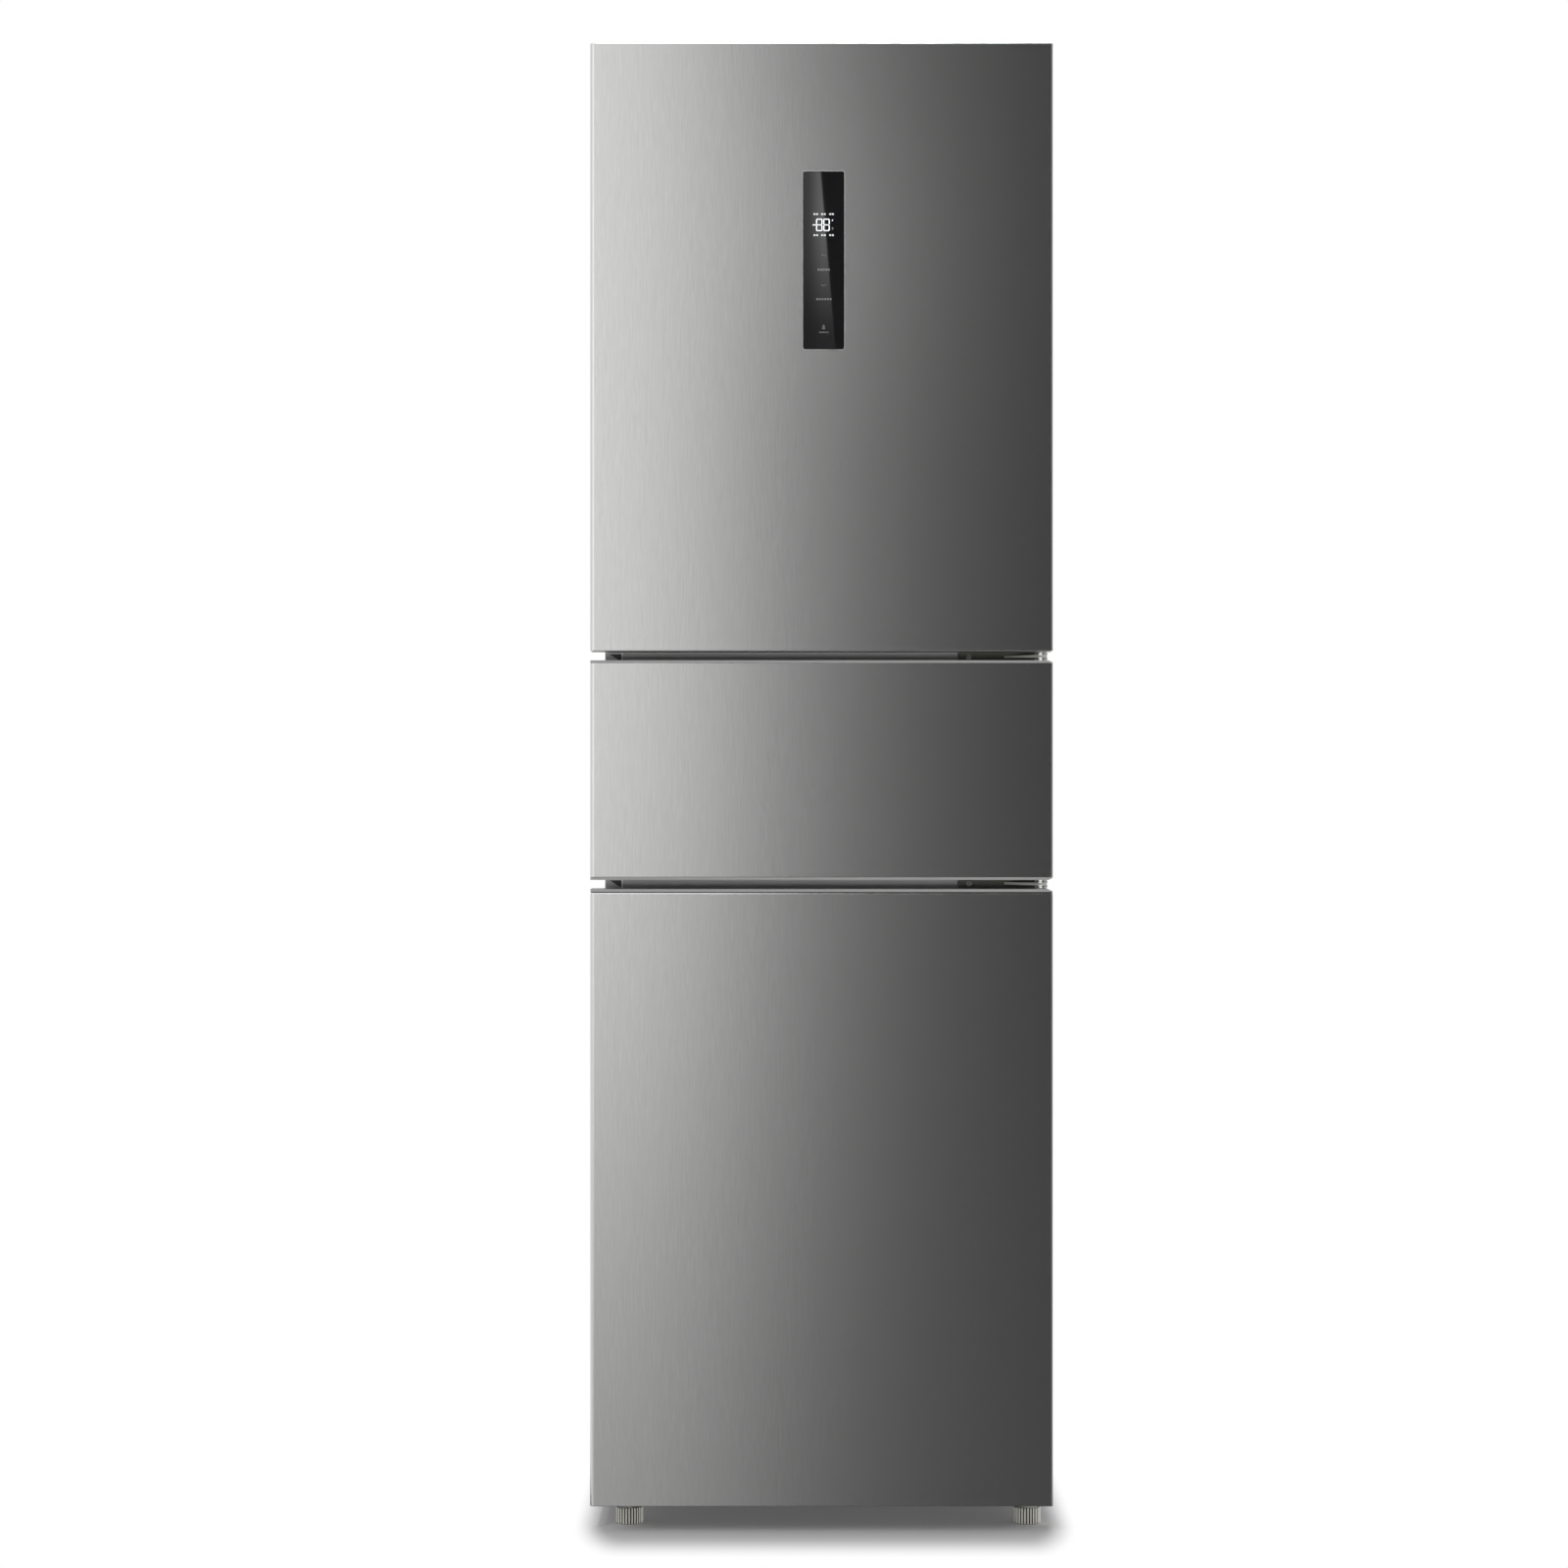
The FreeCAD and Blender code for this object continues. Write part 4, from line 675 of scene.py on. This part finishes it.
TRAY_PROFILE = (
    (0.0, 14.0), (0.0, 0.2), (0.2, 0.0), (0.7, 0.0), (1.1, 0.45), (1.1, 2.0), (3.4, 2.0), (3.4, 12.0),
)
TRAY_CREASE = 20.0
LEAST_CORNER = 0.5 * MM
PANE_GAP = Vector((0.15, 0.0, 0.15)) * MM
PANE_SINK = Vector((0.0, 0.25, 0.0)) * MM
PANE_CORNER = 3 * MM
PANE_EDGE = 0.25 * MM
MARK_FRONT = FRONT + 0.2 * MM
MARK_BACK = FRONT + 0.26 * MM
GLASS_MIDDLE = (GLASS_LOW + GLASS_HIGH) / 2
DIGIT_WIDTH = 7.4
DIGIT_HEIGHT = 14.6
STROKE = 1.0
BAR_TRIM = 1.6 * STROKE
POST_TRIM = 1.4 * STROKE
FIGURE_LEVEL = 42.0
DIGIT_PLACES = (-5.2, 3.4)
FIGURE_SIGNS = ((-11.0, FIGURE_LEVEL, 4.0, STROKE), (10.4, 47.4, 1.2, 1.2))
WORD_LEVELS = (54.8, 29.8)
WORD_PLACES = (-9.3, -0.3, 9.3)
WORD_HALVES = (-1.55, 1.55)
WORD_SIZE = (2.3, 2.0)
CHEVRON_REACH = 1.3
CHEVRON_SIZE = (3.2, 0.55)
CHEVRON_SLOPE = math.radians(38)
TOUCH_ARROWS = ((6.2, 1), (-29.8, -1))
TOUCH_WORDS = (
    (0.0, -11.2, 5, 3.0, 2.2, 2.4),
    (0.2, -46.2, 6, 3.2, 2.0, 2.2),
    (0.2, -85.6, 5, 2.4, 1.5, 1.2),
)
TOUCH_BARS = (
    (10.6, 37.8, 1.6, 2.6),
    (0.0, -81.2, 3.8, 1.0),
    (0.0, -79.2, 3.4, 1.0),
    (0.0, -77.4, 2.0, 1.0),
)


def display_tray():
    """The moulded tray that holds the glass, with a chamfer round its mouth."""
    shape = bmesh.new()
    rings = []
    for inset, depth in TRAY_PROFILE:
        x = (TRAY_LOW.x + inset * MM, TRAY_HIGH.x - inset * MM)
        z = (TRAY_LOW.z + inset * MM, TRAY_HIGH.z - inset * MM)
        corner = max(TRAY_CORNER - inset * MM, LEAST_CORNER)
        rings.append(outline(shape, x, z, FRONT + depth * MM, corner))
    bridged(shape, rings)
    return piece("display_tray", shape, "upper_door", "bezel_grey", "display_housing", crease=TRAY_CREASE)


def display_pane():
    """The black glass, a hair behind the door's face."""
    shape = bmesh.new()
    plate(shape, GLASS_LOW + PANE_GAP + PANE_SINK, GLASS_HIGH - PANE_GAP, PANE_CORNER, PANE_EDGE)
    return piece("display_pane", shape, "upper_door", "black_glass", "display_glass", flat=True)


def mark(shape, x, z, width, height, turn=0.0):
    """A small flat bar of the display."""
    middle = (GLASS_MIDDLE.x + x * MM, (MARK_FRONT + MARK_BACK) / 2, GLASS_MIDDLE.z + z * MM)
    place = Matrix.Translation(middle) @ Matrix.Rotation(turn, 4, "Y")
    size = Matrix.Diagonal((width * MM, MARK_BACK - MARK_FRONT, height * MM, 1.0))
    bmesh.ops.create_cube(shape, size=1.0, matrix=place @ size)


def digit(shape, x, z):
    """A seven-segment figure with every segment lit."""
    half = DIGIT_HEIGHT / 2
    side = (DIGIT_WIDTH - STROKE) / 2
    for level in (-half + STROKE / 2, 0.0, half - STROKE / 2):
        mark(shape, x, z + level, DIGIT_WIDTH - BAR_TRIM, STROKE)
    for across in (-side, side):
        for level in (-half / 2, half / 2):
            mark(shape, x + across, z + level, STROKE, half - POST_TRIM)


def word(shape, x, z, count, pitch, width, height):
    """A row of dots that stands for a word."""
    for step in range(count):
        mark(shape, x + (step - (count - 1) / 2) * pitch, z, width, height)


def chevron(shape, z, way):
    """An arrow head that points up (way 1) or down (way -1)."""
    for side in (-1, 1):
        mark(shape, side * CHEVRON_REACH, z, *CHEVRON_SIZE, side * way * CHEVRON_SLOPE)


def display_figures():
    """The lit figures with their sign and dot."""
    shape = bmesh.new()
    for x in DIGIT_PLACES:
        digit(shape, x, FIGURE_LEVEL)
    for sign in FIGURE_SIGNS:
        mark(shape, *sign)
    return piece("display_figures", shape, "upper_door", "black_glass", look=LIT_MARK)


def display_words():
    """The lit words above and below the figures."""
    shape = bmesh.new()
    for z in WORD_LEVELS:
        for x in WORD_PLACES:
            for half in WORD_HALVES:
                mark(shape, x + half, z, *WORD_SIZE)
    return piece("display_words", shape, "upper_door", "black_glass", look=WORD_MARK)


def display_marks():
    """The faint touch marks: arrows, words and small bars."""
    shape = bmesh.new()
    for z, way in TOUCH_ARROWS:
        chevron(shape, z, way)
    for row in TOUCH_WORDS:
        word(shape, *row)
    for bar in TOUCH_BARS:
        mark(shape, *bar)
    return piece("display_marks", shape, "upper_door", "black_glass", look=FAINT_MARK)


display_tray()
display_pane()
display_figures()
display_words()
display_marks()


# Beam ends

FLANGE = 20 * MM
# Corners of the black triangle that paints the door's shadow on the flange, in millimetres from the flange's joint
# and the gap's middle
FLANGE_SHADOW = ((-14.0, 3.5), (-0.3, 3.5), (-0.3, -3.5), (-3.6, -3.5))
LIP_WIDTH = 1.2 * MM
LIP_REACH = 7 * MM
LIP_ROUND = 0.05 * MM
PROUD = 0.15 * MM


def beam_ends():
    """A thin black triangle on the left flange beside each beam, which paints the shadow of the door above, and a
    pale strip at the beam's end, which paints its highlight.
    """
    joint = CABINET_LOW.x + FLANGE
    face = CABINET_LOW.y
    shadow_sheets, highlight_strips = bmesh.new(), bmesh.new()
    for hinge in MIDDLE_HINGES:
        low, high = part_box(hinge)
        middle = (low.z + high.z) / 2
        corners = [shadow_sheets.verts.new((joint + x * MM, face - PROUD, middle + z * MM)) for x, z in FLANGE_SHADOW]
        sheet = bmesh.ops.contextual_create(shadow_sheets, geom=corners)["faces"]
        bmesh.ops.solidify(shadow_sheets, geom=sheet, thickness=PROUD / 2)
        highlight_low = Vector((joint, face - PROUD, middle - LIP_REACH))
        verts = block(highlight_strips, highlight_low, Vector((joint + LIP_WIDTH, face + PROUD, middle + LIP_REACH)))
        soften(highlight_strips, edges_of(verts), LIP_ROUND, EDGE_STEPS)
    piece("beam_end_shadows", shadow_sheets, "cabinet", "tray_black")
    piece("beam_end_highlights", highlight_strips, "cabinet", "liner_white")


beam_ends()


# Hinge hardware

HINGE_PLATE = 3 * MM
HINGE_X, HINGE_Y, _ = frame["joints"][0]["pos_m"]
BUSH_PROFILE = ((4.1, 1.6), (7.0, 1.6), (7.0, 2.9), (6.3, 3.4), (6.3, 4.9), (4.1, 4.9), (4.1, 1.6))
SCREW_RADIUS = 4.2 * MM
SCREW_CROWN = 0.86 * SCREW_RADIUS
SCREW_HEIGHT = 2.2 * MM
SCREW_STEPS = 28
SOCKET_RIM = 1.9 * MM
SOCKET_DEPTH = 0.9 * MM
PLATE_SCREW = 13 * MM
BOTTOM_SCREW = 14 * MM
BOTTOM_SCREW_DEPTHS = (14 * MM, 36 * MM)


def screw(shape, place, outward):
    """A pan head with a round socket, seated on a face."""
    outward = Vector(outward)
    turn = Vector((0, 0, 1)).rotation_difference(outward).to_matrix().to_4x4()
    made = bmesh.ops.create_cone(
        shape,
        cap_ends=True,
        segments=SCREW_STEPS,
        radius1=SCREW_RADIUS,
        radius2=SCREW_CROWN,
        depth=SCREW_HEIGHT,
        matrix=Matrix.Translation(Vector(place) + outward * SCREW_HEIGHT / 2) @ turn,
    )["verts"]
    caps = [face for face in {face for vert in made for face in vert.link_faces} if len(face.verts) > 4]
    crown = max(caps, key=lambda face: face.calc_center_median().dot(outward))
    bmesh.ops.inset_region(shape, faces=[crown], thickness=SOCKET_RIM)
    socket = bmesh.ops.extrude_discrete_faces(shape, faces=[crown])["faces"]
    bmesh.ops.translate(shape, vec=-SOCKET_DEPTH * outward, verts=socket[0].verts)


def hinge_screws():
    """The screws that hold the middle and bottom hinges."""
    shape = bmesh.new()
    for hinge in MIDDLE_HINGES:
        low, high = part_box(hinge)
        screw(shape, (low.x + PLATE_SCREW, high.y - HINGE_PLATE, (low.z + high.z) / 2), (0, -1, 0))
    low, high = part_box("bottom_hinge")
    for depth in BOTTOM_SCREW_DEPTHS:
        screw(shape, (low.x + BOTTOM_SCREW, high.y - depth, CABINET_LOW.z - HINGE_PLATE), (0, 0, -1))
    return piece("hinge_screws", shape, "cabinet", "bright_steel")


def pin_bushes():
    """Two bright bushes on each pin between two doors, one above the hinge's arm and one below."""
    shape = bmesh.new()
    for hinge in MIDDLE_HINGES:
        low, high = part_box(hinge)
        middle = (low.z + high.z) / 2
        for way in (MM, -MM):
            profile = [(radius * MM, height * way) for radius, height in BUSH_PROFILE]
            turned(shape, profile, (HINGE_X, HINGE_Y, middle))
    return piece("pin_bushes", shape, "cabinet", "bright_steel")


hinge_screws()
pin_bushes()


# Door bins and drawers: the bins' profile is in millimetres, inward and up

BIN_COUNT = 3
BIN_PROFILE = (
    (7.0, 0.0), (4.4, 0.7), (3.6, 2.4), (0.9, 80.0), (0.0, 81.0), (0.0, 87.2),
    (0.8, 88.0), (2.6, 88.0), (3.4, 87.2), (3.4, 80.0), (6.0, 4.6), (8.6, 2.6),
)
BIN_CORNER = 14.0
BIN_LEAST_CORNER = 4.0
BIN_PITCH = 195 * MM
BIN_EAR = 8 * MM
EAR_LOW = Vector((-4.0, 2.5, 50.0)) * MM
EAR_SIZE = Vector((12.0, 17.0, 12.0)) * MM
EAR_ROUND = 1.2 * MM
DRAWERS = (
    "crisper_drawer",
    "middle_drawer",
    "freezer_drawer_upper",
    "freezer_drawer_middle",
    "freezer_drawer_lower",
)
DRAWER_GAP = 0.1 * MM
PANEL_PROUD = 1.6 * MM
PANEL_MARGIN = 16 * MM
PANEL_TOP = 46 * MM
PANEL_CORNER = 12 * MM
PANEL_EDGE = 0.8 * MM
RAIL_PROUD = 2.6 * MM
RAIL_MARGIN = 4 * MM
RAIL_LOW = 13 * MM
RAIL_TOP = 1.2 * MM
RAIL_CORNER = 3 * MM
RAIL_EDGE = 1.2 * MM


def bins():
    """Three moulded bins with a rolled rim, and the ears that hang on the door's lugs."""
    low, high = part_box("door_bins")
    shape = bmesh.new()
    for step in range(BIN_COUNT):
        level = low.z + step * BIN_PITCH
        rings = []
        for inset, height in BIN_PROFILE:
            x = (low.x + BIN_EAR + inset * MM, high.x - BIN_EAR - inset * MM)
            y = (low.y + inset * MM, high.y - inset * MM)
            corner = max(BIN_CORNER - inset, BIN_LEAST_CORNER) * MM
            rings.append(level_ring(shape, x, y, level + height * MM, corner))
        bridged(shape, rings)
        for x in (high.x - BIN_EAR + EAR_LOW.x, low.x):
            corner = Vector((x, low.y + EAR_LOW.y, level + EAR_LOW.z))
            soften(shape, edges_of(block(shape, corner, corner + EAR_SIZE)), EAR_ROUND)
    return piece("bins", shape, "upper_door", "clear_plastic", "door_bins", flat=True)


def drawer_fronts():
    """A raised panel and a grey top rail on the front of each drawer."""
    panels, rails = bmesh.new(), bmesh.new()
    for name in DRAWERS:
        low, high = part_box(name)
        back = low.y - DRAWER_GAP
        start = Vector((low.x + PANEL_MARGIN, low.y - PANEL_PROUD, low.z + PANEL_MARGIN))
        end = Vector((high.x - PANEL_MARGIN, back, high.z - PANEL_TOP))
        plate(panels, start, end, PANEL_CORNER, PANEL_EDGE)
        start = Vector((low.x + RAIL_MARGIN, low.y - RAIL_PROUD, high.z - RAIL_LOW))
        end = Vector((high.x - RAIL_MARGIN, back, high.z - RAIL_TOP))
        plate(rails, start, end, RAIL_CORNER, RAIL_EDGE)
    piece("drawer_panels", panels, "cabinet", "clear_plastic", flat=True)
    piece("drawer_rails", rails, "cabinet", "trim_grey", flat=True)


bins()
drawer_fronts()


# Compressor mounts: the profile is in shares of the mount's radius and height

MOUNT_RADIUS = 10 * MM
MOUNT_PROFILE = (
    (0.0, 0.0), (1.0, 0.0), (1.0, 0.22), (0.72, 0.36), (0.72, 0.64), (1.0, 0.78), (1.0, 1.0), (0.0, 1.0),
)
MOUNT_STEPS = 36


def compressor_mounts():
    """Turned rubber mounts with a waist, under the compressor's plate."""
    low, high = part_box("compressor_grommets")
    shape = bmesh.new()
    profile = [(radius * MOUNT_RADIUS, height * (high.z - low.z)) for radius, height in MOUNT_PROFILE]
    for x in (low.x + MOUNT_RADIUS, high.x - MOUNT_RADIUS):
        for y in (low.y + MOUNT_RADIUS, high.y - MOUNT_RADIUS):
            turned(shape, profile, (x, y, low.z), MOUNT_STEPS)
    return piece("compressor_mounts", shape, "cabinet", "mount_rubber", "compressor_grommets")


compressor_mounts()


# Studio: a pale floor, a white surround, soft lamps and the cards that the steel reflects

WHITE = (1.0, 1.0, 1.0, 1.0)
SURROUND_LIGHT = 0.42
FLOOR_REACH = 40.0
FLOOR_TONE = (0.70, 0.70, 0.70)
FLOOR_ROUGHNESS = 0.9
# The floor's painted white: where it starts and ends round the part, and how much it lifts the shadow under it
SHADOW_INSET = 0.08
SHADOW_REACH = (0.095, 0.23)
SHADOW_SIDES = (-0.233, 0.242)
SHADOW_LIFT = 0.06
SIDE_WEIGHT = 3.5
LAMPS = (
    ("left_softbox", (-3.4, -2.4, 2.6), (0.0, 0.0, 0.9), (1.6, 2.4), 50.0, False),
    ("top_softbox", (0.0, 0.25, 6.0), (0.0, 0.0, 0.6), (0.9, 0.9), 110.0, True),
    ("front_fill", (1.9, -5.9, 0.3), (0.0, 0.0, 0.9), (1.6, 0.5), 100.0, False),
)
FLAGS = (
    ("left_flag", -0.268, -0.245, 0.283, 0.06),
    ("right_flag", 0.285, -0.262, 0.283, 0.1),
)
CARD_Y = -7.0
CARD_SIZE = ((-9.0, 9.0), (-16.0, 18.0))
CARD_STOPS = ((-3.0, 1.45), (-0.9, 1.32), (-0.27, 1.2), (-0.16, 0.0), (2.2, 0.0), (4.5, 0.5), (9.0, 0.6))
CARD_FADE = (-1.7, 1.3, 0.36, 1.0)
CARD_GROUND = (-1.3, 1.2, 0.06, 0.005)
SIDE_CARD = ((6, CARD_Y, -7), (6, 2, -7), (6, 2, 9), (6, CARD_Y, 9))
SIDE_STOPS = ((0.0, 0.0), (1.0, 0.1))
SIDE_GROUND = (0.0, 1.0, 0.3, 0.3)
UNDER_CARD = ((-0.6, -0.32, -0.02), (0.6, -0.32, -0.02), (0.6, 0.6, -0.02), (-0.6, 0.6, -0.02))
UNDER_STOPS = ((-1.0, 0.0), (1.0, 0.01))
UNDER_GROUND = (0.0, 1.0, 0.09, 0.09)
GLINT_Y = CARD_Y + 0.1
GLINT_CARD = (
    (-0.20, GLINT_Y, 2.10),
    (0.112, GLINT_Y, 2.10),
    (0.058, GLINT_Y, 2.75),
    (-0.20, GLINT_Y, 2.75),
)
GLINT_STOPS = ((-0.02, 0.3), (0.03, 0.9), (0.065, 2.6), (0.11, 3.4))
GLINT_FADE = (2.18, 2.6, 0.06, 1.0)
GLINT_GROUND = (0.0, 1.0, 0.1, 0.1)
NO_FADE = (0.0, 1.0, 1.0, 1.0)
SENSOR = 36.0
LENS = 87.0
FAR_CLIP = 200.0
CAMERA_X = -0.0446
CAMERA_BACK = 4.5
CAMERA_Z = 0.890


def seen_directly(tree):
    """One for rays of the camera, of reflections and through glass, and nought for diffuse light."""
    path = tree.nodes.new("ShaderNodeLightPath")
    shown = joined(tree, "MAXIMUM", path.outputs["Is Camera Ray"], path.outputs["Is Glossy Ray"])
    return joined(tree, "MAXIMUM", shown, path.outputs["Is Transmission Ray"])


def surround():
    """A white surround that lights the part evenly."""
    world = bpy.data.worlds.new("studio")
    SCENE.world = world
    world.use_nodes = True
    tree = world.node_tree
    tree.nodes.clear()
    light = tree.nodes.new("ShaderNodeBackground")
    light.inputs["Color"].default_value = WHITE
    strength = span(tree, seen_directly(tree), 0.0, 1.0, low=SURROUND_LIGHT, high=1.0)
    tree.links.new(strength, light.inputs["Strength"])
    out = tree.nodes.new("ShaderNodeOutputWorld")
    tree.links.new(light.outputs["Background"], out.inputs["Surface"])


def sheet_of(corners):
    """The shape of a flat sheet between four corners."""
    shape = bmesh.new()
    bmesh.ops.contextual_create(shape, geom=[shape.verts.new(corner) for corner in corners])
    return shape


def stand(name, mesh):
    """Puts a sheet of the studio in its place."""
    made = bpy.data.objects.new(name, mesh)
    SCENE.collection.objects.link(made)
    return made


def hide(made, *rays):
    """Keeps a sheet out of some kinds of rays."""
    for ray in rays:
        setattr(made, f"visible_{ray}", False)


def floor():
    """The pale floor: near the part it keeps the shadow, lifted a little by painted white, and further off the
    painted white grows until the floor is plain white.
    """
    shape = bmesh.new()
    bmesh.ops.create_grid(shape, x_segments=1, y_segments=1, size=FLOOR_REACH)
    made = stand("floor", settle(shape, "floor"))
    look = finish("floor_paint", FLOOR_TONE, FLOOR_ROUGHNESS)
    shader_of(look).inputs["Specular IOR Level"].default_value = 0.0
    tree = look.node_tree
    depth = (CAD_BOX[0][1] + SHADOW_INSET, CAD_BOX[1][1] - SHADOW_INSET)
    squares = []
    for axis, (low, high), weight in (("X", SHADOW_SIDES, SIDE_WEIGHT), ("Y", depth, 1.0)):
        centred = joined(tree, "SUBTRACT", axis_of(tree, axis), (low + high) / 2)
        away = joined(tree, "SUBTRACT", joined(tree, "ABSOLUTE", centred), (high - low) / 2)
        weighed = joined(tree, "MULTIPLY", joined(tree, "MAXIMUM", away, 0.0), weight)
        squares.append(joined(tree, "POWER", weighed, 2.0))
    distance = joined(tree, "SQRT", joined(tree, "ADD", *squares))
    # Painted white over the floor's shadow, growing with the distance from the part
    whiteness = span(tree, distance, *SHADOW_REACH, low=SHADOW_LIFT, high=1.0, smooth=True)
    glow = tree.nodes.new("ShaderNodeEmission")
    mix = tree.nodes.new("ShaderNodeMixShader")
    tree.links.new(joined(tree, "MULTIPLY", whiteness, seen_directly(tree)), mix.inputs["Fac"])
    tree.links.new(shader_of(look).outputs["BSDF"], mix.inputs[1])
    tree.links.new(glow.outputs["Emission"], mix.inputs[2])
    tree.links.new(mix.outputs["Shader"], tree.nodes["Material Output"].inputs["Surface"])
    made.data.materials.append(look)
    hide(made, "glossy")


def lamp(name, place, aim, size, power, shown):
    """A soft rectangular lamp, which reflections show or not."""
    data = bpy.data.lights.new(name, "AREA")
    data.shape = "RECTANGLE"
    data.size, data.size_y = size
    data.energy = power
    made = bpy.data.objects.new(name, data)
    made.location = place
    made.rotation_euler = (Vector(aim) - Vector(place)).to_track_quat("-Z", "Y").to_euler()
    made.visible_glossy = shown
    SCENE.collection.objects.link(made)


def flag(name, x, front, back, top):
    """A low flag beside the part, which only keeps lamp light off the floor under it."""
    corners = ((x, front, 0.0), (x, back, 0.0), (x, back, top), (x, front, top))
    made = stand(name, settle(sheet_of(corners), name))
    made.data.materials.append(FINISHES["tray_black"])
    hide(made, "camera", "diffuse", "glossy", "transmission", "volume_scatter")


def card(name, corners, stops, fade, ground):
    """A card that only reflections see. Its light runs from stop to stop across and fades with height."""
    shape = sheet_of(corners)
    mesh = bpy.data.meshes.new(name)
    shape.to_mesh(mesh)
    shape.free()
    made = stand(name, mesh)
    look = bpy.data.materials.new(name)
    look.use_nodes = True
    tree = look.node_tree
    tree.nodes.clear()
    left, right = stops[0][0], stops[-1][0]
    strongest = max(level for _, level in stops)
    ramp = tree.nodes.new("ShaderNodeValToRGB")
    while len(ramp.color_ramp.elements) < len(stops):
        ramp.color_ramp.elements.new(0.5)
    for element, (position, level) in zip(ramp.color_ramp.elements, stops):
        element.position = (position - left) / (right - left)
        element.color = (*shade(WHITE[:3], level / strongest), 1.0)
    tree.links.new(span(tree, axis_of(tree, "X"), left, right), ramp.inputs["Fac"])
    level = span(tree, axis_of(tree, "Z"), *fade, smooth=True)
    bright = joined(tree, "MULTIPLY", joined(tree, "MULTIPLY", ramp.outputs["Color"], level), strongest)
    base = span(tree, axis_of(tree, "Z"), *ground)
    glow = tree.nodes.new("ShaderNodeEmission")
    tree.links.new(joined(tree, "ADD", bright, base), glow.inputs["Strength"])
    out = tree.nodes.new("ShaderNodeOutputMaterial")
    tree.links.new(glow.outputs["Emission"], out.inputs["Surface"])
    mesh.materials.append(look)
    hide(made, "camera", "diffuse", "transmission", "volume_scatter", "shadow")


def cards():
    """A wide card behind the camera, bright on the left, and three more.

    One is dim, on the right. One is dark, under the part. One is slanted, for the display's glass.
    """
    (left, right), (low, high) = CARD_SIZE
    wide = ((left, CARD_Y, low), (right, CARD_Y, low), (right, CARD_Y, high), (left, CARD_Y, high))
    card("reflector", wide, CARD_STOPS, CARD_FADE, CARD_GROUND)
    card("right_side", SIDE_CARD, SIDE_STOPS, NO_FADE, SIDE_GROUND)
    card("under_dark", UNDER_CARD, UNDER_STOPS, NO_FADE, UNDER_GROUND)
    card("glint", GLINT_CARD, GLINT_STOPS, GLINT_FADE, GLINT_GROUND)


def camera():
    """The photograph's view: level, square to the doors."""
    data = bpy.data.cameras.new("view")
    data.sensor_width = SENSOR
    data.lens = LENS
    data.clip_end = FAR_CLIP
    data.dof.use_dof = False
    made = bpy.data.objects.new("view", data)
    made.location = (CAMERA_X, FRONT - CAMERA_BACK, CAMERA_Z)
    made.rotation_euler = (math.radians(90), 0.0, 0.0)
    SCENE.collection.objects.link(made)
    SCENE.camera = made


surround()
floor()
for values in LAMPS:
    lamp(*values)
for values in FLAGS:
    flag(*values)
cards()
camera()
SCENE.view_settings.view_transform = "Standard"
